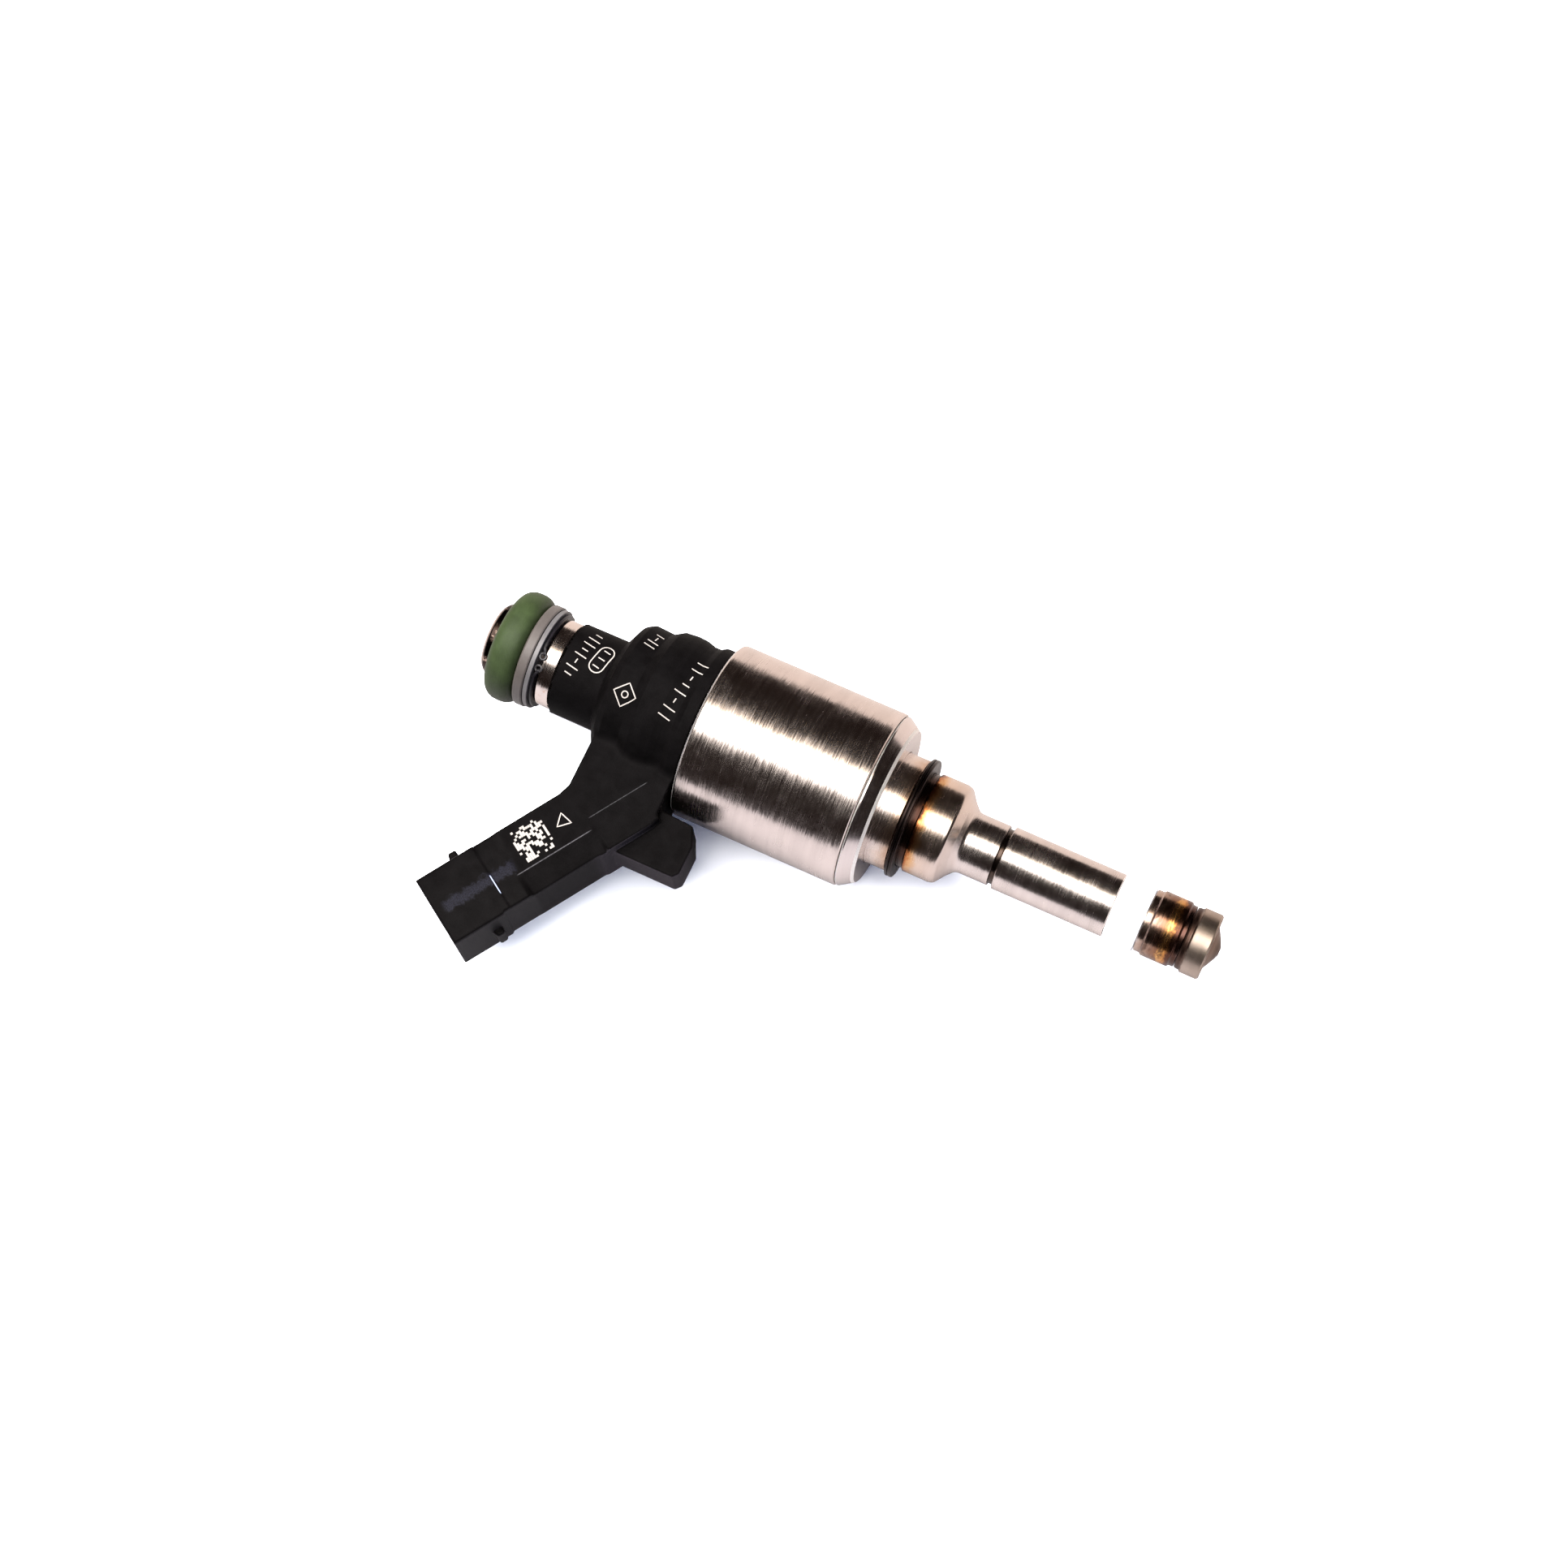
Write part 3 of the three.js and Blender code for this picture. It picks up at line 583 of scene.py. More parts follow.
# ------------------------------------------------------------------ materials
def steel(name, colour, rough, lines, line_scale, bump, tint=None, chatter=0.0, rims=()):
    """Turned steel: fine lines round the X axis, soft bands and faint smudges.

    lines is how far the lines vary the roughness, chatter how far they tilt the normal;
    rims gives (x0, x1) bands along edges that are rougher and painted paler, a painted highlight."""
    net = new_material(name)
    fine = net.noise(line_scale, 0.12, detail=4.0, rough=0.7)
    bands = net.noise(0.9, 0.05, detail=2.0)
    smudge = net.noise(0.35, detail=4.0, rough=0.6)
    pits = net.noise(6, detail=2.0, rough=0.5)
    shade = net.remap(bands, (0.3, 0.7))
    shade = net.mix(shade, scaled(colour, 0.92), scaled(colour, 1.06))
    shade = net.mix(net.remap(smudge, (0.55, 0.8), (0, 0.08)), shade, scaled(colour, 0.55))
    if tint:
        shade = tint(net, shade)
    line_rough = net.remap(fine, (0.25, 0.75), (rough - 0.1 * lines, rough + 0.16 * lines))
    roughness = net.plus(line_rough, net.remap(smudge, (0.4, 0.75), (0, 0.1)))
    if rims:
        x = net.axial_x()
        for x0, x1 in rims:
            within = net.times(net.math("GREATER_THAN", x, x0), net.math("LESS_THAN", x, x1))
            roughness = net.plus(roughness, net.times(within, 0.4))
            # painted highlight: the rims' base colour is paler
            shade = net.mix(within, shade, (0.95, 0.93, 0.91))
    roughness = net.math("MAXIMUM", roughness, 0.05)
    height = net.plus(net.times(fine, 1.0), net.times(pits, 0.12))
    relief = net.add("ShaderNodeBump", {"Strength": bump, "Distance": 0.00002, "Height": height})
    if chatter:  # each line leans a little round the axis, which frays the edges of a reflection
        lean = net.noise(11.5, 0.35, detail=2.0, rough=0.6)
        normal = net.add("ShaderNodeNewGeometry").outputs["Normal"]
        round_axis = net.vector("CROSS_PRODUCT", {0: normal, 1: (1, 0, 0)})
        amount = net.remap(lean, (0.25, 0.75), (-chatter, chatter))
        shift = net.vector("SCALE", {0: round_axis, "Scale": amount})
        tilted = net.vector("ADD", {0: normal, 1: shift})
        net.fill(relief, {"Normal": net.vector("NORMALIZE", {0: tilted})})
    net.fill(net.bsdf, {"Base Color": shade, "Roughness": roughness,
                        "Normal": relief.outputs[0], "Metallic": 1.0})


def plain(name, colour, rough, bump, specular=0.5, grain=2.0, variation=0.12, metallic=0.0):
    """One colour, varied a little, under a fine grain."""
    net = new_material(name)
    broad = net.noise(0.5, detail=4.0)
    fine = net.noise(grain * 4, rough=0.6)
    shade = net.remap(broad, (0.3, 0.7))
    shade = net.mix(shade, scaled(colour, 1 - variation), scaled(colour, 1 + variation))
    roughness = net.plus(net.remap(fine, (0.3, 0.7), (rough - 0.05, rough + 0.06)),
                         net.remap(broad, (0.35, 0.7), (-0.03, 0.05)))
    relief = net.add("ShaderNodeBump", {"Strength": bump, "Distance": 0.00003, "Height": fine})
    net.fill(net.bsdf, {"Base Color": shade, "Roughness": roughness, "Normal": relief.outputs[0],
                        "Specular IOR Level": specular, "Metallic": metallic})
    return net


WHITE = (1, 1, 1)


def nozzle_tint(net, shade):
    """Heat tint: brown, orange and straw from the snap ring on, gold and brown at the tip; painted
    shade darkens the groove beside the snap ring and the small groove at x 13.5.
    """
    x = net.axial_x()
    drift = net.noise(0.9, 0.7, detail=4.0, rough=0.65)
    # brown under the snap ring, then black at x 3.4 to 4.25 as painted shade in the groove beside it,
    # then orange and straw heat tint
    ring_end = net.ramp(net.waver(x, drift, 0.35), (0.0, 10.0), [
        (0.0, WHITE), (0.11, (0.98, 0.93, 0.88)), (0.20, (0.86, 0.72, 0.60)),
        (0.275, (0.60, 0.44, 0.33)), (0.34, (0.06, 0.04, 0.035)), (0.425, (0.07, 0.035, 0.025)),
        (0.455, (0.62, 0.24, 0.08)), (0.50, (1.0, 0.66, 0.34)), (0.57, (0.98, 0.87, 0.76)),
        (0.80, (0.95, 0.90, 0.86)), (1.0, WHITE)])
    fleck = net.noise(2.4, 1.1, detail=4.0, rough=0.7, distortion=0.6)
    tip_end = net.ramp(net.waver(x, fleck, 0.3), (31.0, 37.0), [
        (0.0, WHITE), (0.04, (0.70, 0.60, 0.53)), (0.16, (0.60, 0.47, 0.39)),
        (0.32, (0.36, 0.23, 0.17)), (0.42, (0.38, 0.21, 0.12)), (0.49, (1.0, 0.60, 0.22)),
        (0.56, (0.85, 0.42, 0.13)), (0.63, (0.16, 0.075, 0.05)), (0.78, (0.13, 0.08, 0.07)),
        (0.86, (0.25, 0.19, 0.17)), (1.0, (0.5, 0.45, 0.42))])
    # sooty patches near the tip
    soot = net.noise(1.1, 0.5, detail=4.0, rough=0.6, distortion=0.4)
    near_tip = net.remap(x, (31.2, 32.4), smooth=True)
    patches = net.times(near_tip, net.remap(soot, (0.50, 0.60), (0, 0.8)))
    tip_end = net.mix(patches, tip_end, (0.10, 0.055, 0.04))
    # painted shade: the small groove at x 13.5 to 14 is darkened
    dark = (0.10, 0.08, 0.07)
    groove = net.ramp(x, (13.0, 14.5), [
        (0.0, WHITE), (0.32, WHITE), (0.36, dark), (0.66, dark), (0.7, WHITE)])
    return net.tint(net.tint(net.tint(shade, ring_end), groove), tip_end)


def inlet_tint(net, shade):
    """The lip beyond the O-ring is coloured nearly black, with a few paler spots, and its very end
    keeps the steel's colour.
    """
    x = net.axial_x()
    spots = net.noise(1.6, detail=4.0, rough=0.7)
    darkening = net.ramp(x, (-49.2, -46.8), [
        (0.0, WHITE), (0.12, (0.9, 0.85, 0.82)), (0.18, (0.05, 0.038, 0.034)),
        (0.62, (0.045, 0.036, 0.033)), (0.75, (0.6, 0.55, 0.5)), (1.0, WHITE)])
    darkening = net.mix(net.remap(spots, (0.56, 0.66), (0, 0.8)), darkening, (0.8, 0.66, 0.56))
    return net.tint(shade, darkening)


def tip_tint(net, shade):
    """Satin end: brown-black in the groove, dusty beige on the disc, a darker tip."""
    x = net.axial_x()
    drift = net.noise(1.6, 1.2, detail=4.0, rough=0.7)
    darkening = net.ramp(net.waver(x, drift, 0.08), (35.0, 40.0), [
        (0.0, (0.16, 0.10, 0.08)), (0.26, (0.18, 0.12, 0.10)), (0.31, (0.45, 0.36, 0.31)),
        (0.35, (0.97, 0.90, 0.83)), (0.74, (0.94, 0.86, 0.78)), (0.765, (0.42, 0.31, 0.25)),
        (0.82, (0.40, 0.30, 0.24)), (0.90, (0.24, 0.17, 0.13)), (1.0, (0.22, 0.15, 0.12))])
    return net.tint(shade, darkening)


def band(net, value, centre, half, soft):
    """One within half of the centre, fading to nothing over soft."""
    rise = net.remap(value, (centre - half - soft, centre - half), smooth=True)
    fall = net.remap(value, (centre + half, centre + half + soft), (1, 0), smooth=True)
    return net.times(rise, fall)


def black_moulding():
    """Black moulding: satin, with grainy flanks painted paler as painted light, a mottled sheen on the
    socket's crown with a painted bluish tint, and painted highlights along a step and two folds.
    """
    net = new_material("black_moulding")
    broad = net.noise(0.6, detail=4.0)
    grain = net.noise(9, rough=0.6)
    mottle = net.noise(2.2, rough=0.6)
    top = net.remap(broad, (0.3, 0.7))
    top = net.mix(top, (0.0012, 0.0010, 0.0010), (0.0022, 0.0019, 0.0019))
    grainy_lit_flank = net.remap(grain, (0.35, 0.65))
    grainy_lit_flank = net.mix(grainy_lit_flank, (0.009, 0.008, 0.0082), (0.021, 0.0187, 0.019))
    normal = net.add("ShaderNodeNewGeometry").outputs["Normal"]
    normal_z = net.add("ShaderNodeSeparateXYZ", {0: normal}).outputs[2]

    # where on the arm a point lies, in millimetres
    x, y, z = net.object_xyz()
    from_foot_x = net.math("MULTIPLY_ADD", x, 1000.0, TIP_X - ARM_FOOT[0])
    from_foot_y = net.math("MULTIPLY_ADD", y, 1000.0, -ARM_FOOT[1])
    along, across = (
        net.plus(net.times(from_foot_x, axis[0]), net.times(from_foot_y, axis[1]))
        for axis in (ARM_ALONG, ARM_ACROSS))
    upper = net.math("GREATER_THAN", z, 0.003)

    # painted light: the flanks of the arm are painted paler than the rest, standing in for the white
    # floor they reflect, and paler still on the tab's side
    tab_side_lit = net.remap(net.times(x, 1000.0), (-26.8 - TIP_X, -25.8 - TIP_X), smooth=True)
    grainy_lit_flank = net.mix(tab_side_lit, grainy_lit_flank, net.tint(grainy_lit_flank, (2.1, 2.0, 2.2)))
    on_arm = net.remap(net.times(y, 1000.0), (-12.0, -17.0), smooth=True)
    steep = net.remap(normal_z, (0.75, 0.35), smooth=True)
    shade = net.mix(net.times(on_arm, steep), top, grainy_lit_flank)

    # masks: the hood, its sheen, the step at the socket's mouth and the two folds; the last two carry
    # painted highlights
    hood = net.remap(along, (38.2, 38.8), smooth=True)
    ragged = net.math("MULTIPLY_ADD", mottle, 1.6, net.plus(across, -0.8))
    sheen = net.times(band(net, ragged, centre=0.2, half=0.3, soft=0.6),
                      band(net, along, centre=43.2, half=4.0, soft=0.8))
    sheen = net.times(sheen, net.remap(grain, (0.36, 0.6), (0.12, 0.62)))
    # painted highlight: a thin bright line along the step at the socket's mouth, also shinier and
    # smoother there
    step_glint = net.times(band(net, along, centre=41.6, half=0.03, soft=0.05),
                    band(net, across, centre=0.95, half=0.95, soft=0.35))
    step_glint = net.times(step_glint, upper)
    outer_fold = net.times(band(net, across, centre=1.35, half=0.03, soft=0.05),
                           band(net, along, centre=34.3, half=4.4, soft=0.5))
    outer_fold = net.times(outer_fold, upper)
    inner_fold = net.times(band(net, across, centre=0.0, half=0.02, soft=0.05),
                           band(net, along, centre=25.3, half=3.4, soft=0.5))
    inner_fold = net.times(inner_fold, upper)

    roughness = net.plus(net.remap(grain, (0.3, 0.7), (0.5, 0.62)), net.times(hood, -0.12))
    specular = net.math("MULTIPLY_ADD", sheen, 0.3, 0.035)
    # painted highlights: thin pale lines along the two folds, mottled, and more specular there
    fold_glint = net.plus(net.times(outer_fold, 0.4), net.times(inner_fold, 0.22))
    fold_glint = net.times(fold_glint, net.remap(mottle, (0.35, 0.6), (0.45, 1.0)))
    specular = net.plus(specular, net.times(fold_glint, 0.5))
    specular = net.plus(specular, net.times(step_glint, 0.9))
    roughness = net.plus(roughness, net.times(step_glint, -0.25))
    # painted light in the base colour: a bluish sheen on the crown, pale lines along the folds and a
    # bluish-white line at the step
    shade = net.mix(net.times(sheen, upper), shade, (0.0035, 0.0035, 0.0085))
    shade = net.mix(fold_glint, shade, (0.10, 0.095, 0.10))
    shade = net.mix(net.times(step_glint, 0.8), shade, (0.34, 0.38, 0.50))
    height = net.plus(grain, net.times(mottle, 0.8))
    relief = net.add("ShaderNodeBump", {"Strength": 0.3, "Distance": 0.00004, "Height": height})
    net.fill(net.bsdf, {
        "Base Color": shade, "Roughness": roughness, "Specular IOR Level": specular,
        "Specular Tint": net.mix(sheen, (1.0, 0.97, 0.97), (0.86, 0.88, 1.0)),
        "Normal": relief.outputs[0]})


steel("turned_steel", (0.70, 0.61, 0.565), rough=0.17, lines=0.6, line_scale=7.0, bump=0.17,
      chatter=0.05, rims=[(-22.3, -21.83)])
steel("front_steel", (0.72, 0.64, 0.61), rough=0.13, lines=0.4, line_scale=9.0, bump=0.14,
      rims=[(-2.0, -1.72), (-0.34, -0.03)])
steel("polished_steel", (0.74, 0.65, 0.60), rough=0.15, lines=0.4, line_scale=9.0, bump=0.12,
      tint=inlet_tint, chatter=0.03)
steel("nozzle_steel", (0.72, 0.635, 0.59), rough=0.185, lines=0.45, line_scale=9.0, bump=0.13,
      tint=nozzle_tint, chatter=0.04)
steel("tip_steel", (0.47, 0.41, 0.37), rough=0.36, lines=0.4, line_scale=9.0, bump=0.25,
      tint=tip_tint)
steel("dark_ring_steel", (0.026, 0.018, 0.016), rough=0.28, lines=0.4, line_scale=9.0, bump=0.15)
plain("grey_washer", (0.10, 0.093, 0.091), rough=0.42, bump=0.1, metallic=0.35)
steel("needle_steel", (0.70, 0.69, 0.67), rough=0.12, lines=0.2, line_scale=12.0, bump=0.08)
steel("magnetic_steel", (0.45, 0.44, 0.43), rough=0.35, lines=0.5, line_scale=6.0, bump=0.3)
steel("spring_steel", (0.40, 0.40, 0.41), rough=0.3, lines=0.3, line_scale=5.0, bump=0.1)
plain("copper", (0.70, 0.30, 0.14), rough=0.3, bump=0.3, grain=3.0, variation=0.1, metallic=1.0)
plain("tin", (0.66, 0.64, 0.58), rough=0.28, bump=0.1, grain=1.0, variation=0.06, metallic=1.0)
plain("brass", (0.62, 0.46, 0.22), rough=0.4, bump=0.3, grain=4.0, variation=0.1, metallic=0.9)
plain("green_rubber", (0.0175, 0.026, 0.0088), rough=0.5, bump=0.25, specular=0.25, grain=1.2,
      variation=0.22)
plain("grey_ring", (0.052, 0.0435, 0.0385), rough=0.36, bump=0.1, specular=0.4, grain=1.0,
      variation=0.05)
plain("black_clip", (0.006, 0.005, 0.006), rough=0.3, bump=0.1, specular=0.3)
# the clip's eyes take a paler, glossier copy of its black; the paler colour is a painted highlight
plain("clip_eye", (0.03, 0.027, 0.027), rough=0.25, bump=0.1, specular=0.7)
plain("bobbin", (0.05, 0.05, 0.045), rough=0.5, bump=0.2, specular=0.4)
ptfe = plain("ptfe", (0.92, 0.915, 0.90), rough=0.45, bump=0.08, specular=0.4, grain=1.0,
             variation=0.02)
# painted light: the seal glows faintly so that its shaded side stays white
ptfe.fill(ptfe.bsdf, {"Emission Color": (1, 0.99, 0.97, 1), "Emission Strength": 0.1})
plain("marking", (0.25, 0.225, 0.198), rough=0.6, bump=0.1, specular=0.2)
black_moulding()

# ------------------------------------------------------------------ inlet
# Every turned profile below is a table of (x, radius[, fillet]).
turned_piece("inlet_tube", [
    (-49.1, 2.45, 0.1), (-48.75, 2.1, 0.1), (-19.05, 2.1), (-19.05, 5.25), (-20.05, 5.25),
    (-20.05, 4.3), (-39.8, 4.3), (-39.8, 4.95), (-40.0, 5.15, 0.08), (-41.5, 5.15, 0.08),
    (-41.7, 4.95), (-41.7, 3.25, 0.15), (-47.45, 3.25, 0.2), (-47.62, 3.9, 0.15),
    (-47.8, 4.2, 0.12), (-48.65, 4.2, 0.25), (-49.1, 3.75, 0.12),
], "polished_steel")


def o_ring_profile():
    """A slightly squared oval."""
    centre_x, centre_radius = -45.96, 4.93
    half_length, half_depth = 1.83, 1.65
    profile = []
    for angle in np.linspace(0, TAU, 48, endpoint=False):
        c, s = math.cos(angle), math.sin(angle)
        x = centre_x + half_length * math.copysign(abs(c) ** 0.8, c)
        profile.append((x, centre_radius + half_depth * math.copysign(abs(s) ** 0.86, s), 0.0))
    return profile


turned_piece("inlet_o_ring", o_ring_profile(), "green_rubber")
turned_piece("backup_ring", [
    (-44.12, 3.35), (-42.82, 3.35), (-42.82, 5.98, 0.12), (-42.98, 6.08, 0.1),
    (-43.95, 6.08, 0.25), (-44.12, 5.7, 0.2),
], "grey_ring")
turned_piece("spacer_ring", [
    (-42.76, 3.35), (-42.22, 3.35), (-42.22, 5.93, 0.08), (-42.76, 5.93, 0.08),
], "grey_washer")

# ------------------------------------------------------------------ overmould
MOULD_LOW = (-44.9, -37.6, -9.8)
MOULD_HIGH = (-16.9, 9.9, 9.8)
net_points, net_quads, net_normals = surface_nets(
    overmould_distance, MOULD_LOW, MOULD_HIGH, MOULD_STEP)
overmould = make_mesh("connector_body_fine", net_points, net_quads.tolist(), net_normals)
finish_piece(overmould, "black_moulding", "connector_body")

# ------------------------------------------------------------------ marks on the overmould
RAISED, SUNK = 0.03, -0.05  # top and underside of a mark, from the surface
STROKE = 0.13
mark_verts, mark_faces = [], []


def surface_height(x, y):
    """Height of the overmould's surface, seen from above."""
    high = np.full(x.shape, 10.2)
    low = np.full(x.shape, 10.2)
    found = np.zeros(x.shape, bool)
    for _ in range(60):
        lower = low - 0.15
        inside = overmould_distance(x, y, lower) < 0
        high = np.where(found, high, low)
        low = np.where(found, low, lower)
        found = found | inside
    for _ in range(14):
        middle = (high + low) / 2
        inside = overmould_distance(x, y, middle) < 0
        low = np.where(inside, middle, low)
        high = np.where(inside, high, middle)
    return (high + low) / 2


def ribbon(path):
    """A thin raised stroke along a plan path."""
    path = [np.asarray(p, float) for p in path]
    closed = np.linalg.norm(path[0] - path[-1]) < 1e-6
    dense = []
    for a, b in zip(path[:-1], path[1:]):
        steps = max(1, int(np.linalg.norm(b - a) / 0.25))
        dense += [a + (b - a) * i / steps for i in range(steps)]
    if not closed:
        dense.append(path[-1])
    dense = np.array(dense)
    if closed:
        tangent = np.roll(dense, -1, 0) - np.roll(dense, 1, 0)
    else:
        tangent = np.gradient(dense, axis=0)
    tangent /= np.maximum(np.linalg.norm(tangent, axis=1, keepdims=True), 1e-9)
    normal = np.stack([-tangent[:, 1], tangent[:, 0]], 1)
    base, count = len(mark_verts), len(dense)
    for left, right in zip(dense + normal * STROKE / 2, dense - normal * STROKE / 2):
        mark_verts.extend([(*left, RAISED), (*right, RAISED), (*right, SUNK), (*left, SUNK)])
    for i in range(count if closed else count - 1):
        here, there = base + 4 * i, base + 4 * ((i + 1) % count)
        for a in range(4):
            b = (a + 1) % 4
            mark_faces.append([here + a, there + a, there + b, here + b])
    if not closed:
        end = base + 4 * (count - 1)
        mark_faces.append([base, base + 1, base + 2, base + 3])
        mark_faces.append([end + 3, end + 2, end + 1, end])


def bar(corner, edge_a, edge_b):
    """A thin flat patch in plan."""
    base = len(mark_verts)
    for z in (RAISED, SUNK):
        for p in (corner, corner + edge_a, corner + edge_a + edge_b, corner + edge_b):
            mark_verts.append((p[0], p[1], z))
    mark_faces.append([base, base + 1, base + 2, base + 3])
    mark_faces.append([base + 7, base + 6, base + 5, base + 4])
    for i in range(4):
        j = (i + 1) % 4
        mark_faces.append([base + i, base + 4 + i, base + 4 + j, base + j])


def tick_row(start, end, heights):
    """Ticks from start to end, by height; a negative one is a short bar along the row."""
    start, end = np.array(start), np.array(end)
    row = unit(end - start)
    upright = left_of(row)
    for i, height in enumerate(heights):
        centre = start + (end - start) * i / (len(heights) - 1)
        half = upright * height / 2 if height > 0 else row * 0.28
        ribbon([centre - half, centre + half])


def rounded_outline(centre, direction, half_length, half_width, radius):
    row = unit(direction)
    upright = left_of(row)
    outline = []
    for sign_a, sign_b, angle in corner_angles(5):
        forward = sign_a * (half_length - radius) + radius * math.cos(angle)
        sideways = sign_b * (half_width - radius) + radius * math.sin(angle)
        outline.append(centre + row * forward + upright * sideways)
    return outline + [outline[0]]


def circle(centre, radius, count):
    angles = [TAU * i / count for i in range(count)]
    ring = [centre + radius * np.array([math.cos(a), math.sin(a)]) for a in angles]
    return ring + [centre + np.array([radius, 0.0])]


def bar_grid():
    """A square of pseudo-random bars on the shank; each run of filled squares is one bar."""
    count = 14
    pitch = 4.0 / count
    state = 12345
    filled = np.zeros((count, count), bool)
    for i in range(count):
        for j in range(count):
            state = (1103515245 * state + 12345) % 2147483648
            filled[i, j] = (state >> 16) % 100 < 56
    for i in range(count):
        j = 0
        while j < count:
            if not filled[i, j]:
                j += 1
                continue
            end = j
            while end < count and filled[i, end]:
                end += 1
            bar(arm_point(-3.2 + j * pitch, 33.6 + i * pitch),
                ARM_ACROSS * pitch * (end - j - 0.08), ARM_ALONG * pitch * 0.9)
            j = end


# plain, meaningless marks
tick_row((-38.35, -1.95), (-37.3, 3.7), [0.9, 1.55, -1, 1.55, 0.8, 1.55, 1.55, 0.9])
ribbon(rounded_outline(np.array([-35.55, 1.0]), np.array([1.05, 5.65]),
                       half_length=1.75, half_width=0.86, radius=0.82))
tick_row((-35.75, -0.05), (-35.35, 2.05), [0.85, 0.85, 0.85])
diamond = np.array([-30.75, -2.35])
ribbon([diamond + 1.35 * np.array(p) for p in ((1, 0), (0, 1), (-1, 0), (0, -1), (1, 0))])
ribbon(circle(diamond, radius=0.36, count=14))
tick_row((-30.95, 4.1), (-30.6, 6.0), [1.4, 1.4, -1, 1.0])
tick_row((-25.6, -3.0), (-24.35, 4.3), [1.5, 1.5, -1, 1.5, 0.9, -1, 1.5, 1.5])
bar_grid()
triangle = arm_point(-1.25, 31.6)
triangle_angles = [0.2 + i * TAU / 3 for i in range(4)]
ribbon([triangle + 0.95 * np.array([math.cos(a), math.sin(a)]) for a in triangle_angles])

mark_points = np.array(mark_verts)
mark_points[:, 2] += surface_height(mark_points[:, 0], mark_points[:, 1])
marks = make_mesh("marks_fine", mark_points, mark_faces, smooth=False)
face_outwards(marks)
finish_piece(marks, "marking")


# ------------------------------------------------------------------ clip
# Angles round the axis are counted from +Z towards -Y.
def retaining_ring():
    """A ring of rounded square section with a small gap, its ends lifted outwards."""
    x_centre, ring_radius = -41.95, 4.5
    section = [(0.1 * sign_x + 0.09 * math.cos(angle), 0.95 * sign_r + 0.13 * math.sin(angle))
               for sign_x, sign_r, angle in corner_angles(3)]
    start, end = math.radians(31), math.radians(13 + 360)
    steps = 150
    verts = []
    for i in range(steps + 1):
        angle = start + (end - start) * i / steps
        from_end = min(i, steps - i) / steps * (end - start)
        bend = max(0.0, 1 - from_end / 0.17)
        thinning = 1 - 0.45 * max(0.0, 1 - from_end / 0.12)
        for dx, dr in section:
            r = ring_radius + dr * thinning + 0.42 * bend ** 2
            x = x_centre + dx + 0.35 * bend
            verts.append((x, -r * math.sin(angle), r * math.cos(angle)))
    around = len(section)
    faces = tube_faces(0, steps + 1, around, closed=False)
    faces.append(list(range(around))[::-1])
    faces.append([steps * around + k for k in range(around)])
    return make_mesh("retaining_ring_fine", verts, faces)


def clip_eyes():
    """The two eyes at the clip's ends, small flat loops that lie against the inlet's collar."""
    loop_radius, wire_radius = 0.36, 0.13
    rings, around = 24, 8
    ahead = np.array([1.0, 0, 0])
    verts, faces = [], []
    for degrees in (14.5, 30.0):
        place = math.radians(degrees)
        out = np.array([0, -math.sin(place), math.cos(place)])
        across = np.array([0, -math.cos(place), -math.sin(place)])
        centre = np.array([-41.74, 0, 0]) + out * 5.34
        faces += tube_faces(len(verts), rings, around, closed=True)
        for i in range(rings):
            turn = TAU * i / rings
            spoke = ahead * math.cos(turn) + across * math.sin(turn)
            for k in range(around):
                angle = TAU * k / around
                reach = loop_radius + wire_radius * math.cos(angle)
                verts.append(centre + spoke * reach + out * wire_radius * math.sin(angle))
    return make_mesh("clip_eyes_fine", verts, faces)


ring = retaining_ring()
face_outwards(ring)
finish_piece(ring, "black_clip", "retaining_ring")
eyes = clip_eyes()
face_outwards(eyes)
finish_piece(eyes, "clip_eye")

# ------------------------------------------------------------------ solenoid shell
turned_piece("solenoid_housing", [
    (-22.0, 9.15), (-1.94, 9.15), (-1.94, 10.18, 0.05), (-2.08, 10.35, 0.1),
    (-21.75, 10.35, 0.2), (-22.0, 10.1, 0.1),
], "turned_steel")
turned_piece("front_ring", [
    (-4.0, 5.36), (-2.55, 5.36), (-2.55, 6.65), (0, 6.65, 0.1), (0, 9.1, 0.15),
    (-0.25, 9.3, 0.2), (-1.65, 10.22, 0.2), (-1.86, 10.15, 0.08), (-1.89, 9.1), (-4.0, 9.1),
], "front_steel")

# ------------------------------------------------------------------ nozzle holder
turned_piece("valve_body", [
    (-4.6, 2.6), (-3.0, 2.6), (-3.0, 2.2), (31.5, 2.2), (31.5, 2.85), (35.8, 2.85),
    (35.8, 3.58, 0.1), (35.3, 3.6, 0.15), (35.1, 3.83, 0.12), (32.0, 3.83, 0.12),
    (31.8, 3.62, 0.1), (31.1, 3.62, 0.05), (31.1, 3.1), (27.3, 3.1), (27.3, 3.7, 0.08),
    (14.15, 3.7, 0.1), (14.02, 3.28, 0.06), (13.62, 3.24, 0.06), (13.5, 3.56, 0.05),
    (9.75, 3.55, 1.1), (8.9, 4.45, 1.2), (7.95, 5.72, 0.75), (7.3, 5.86, 0.6),
    (4.3, 5.84, 0.08), (4.2, 5.58, 0.05), (2.62, 5.58, 0.05), (2.62, 6.45, 0.05),
    (2.48, 6.6, 0.1), (-2.5, 6.6), (-2.5, 4.8), (-4.6, 4.8),
], "nozzle_steel")
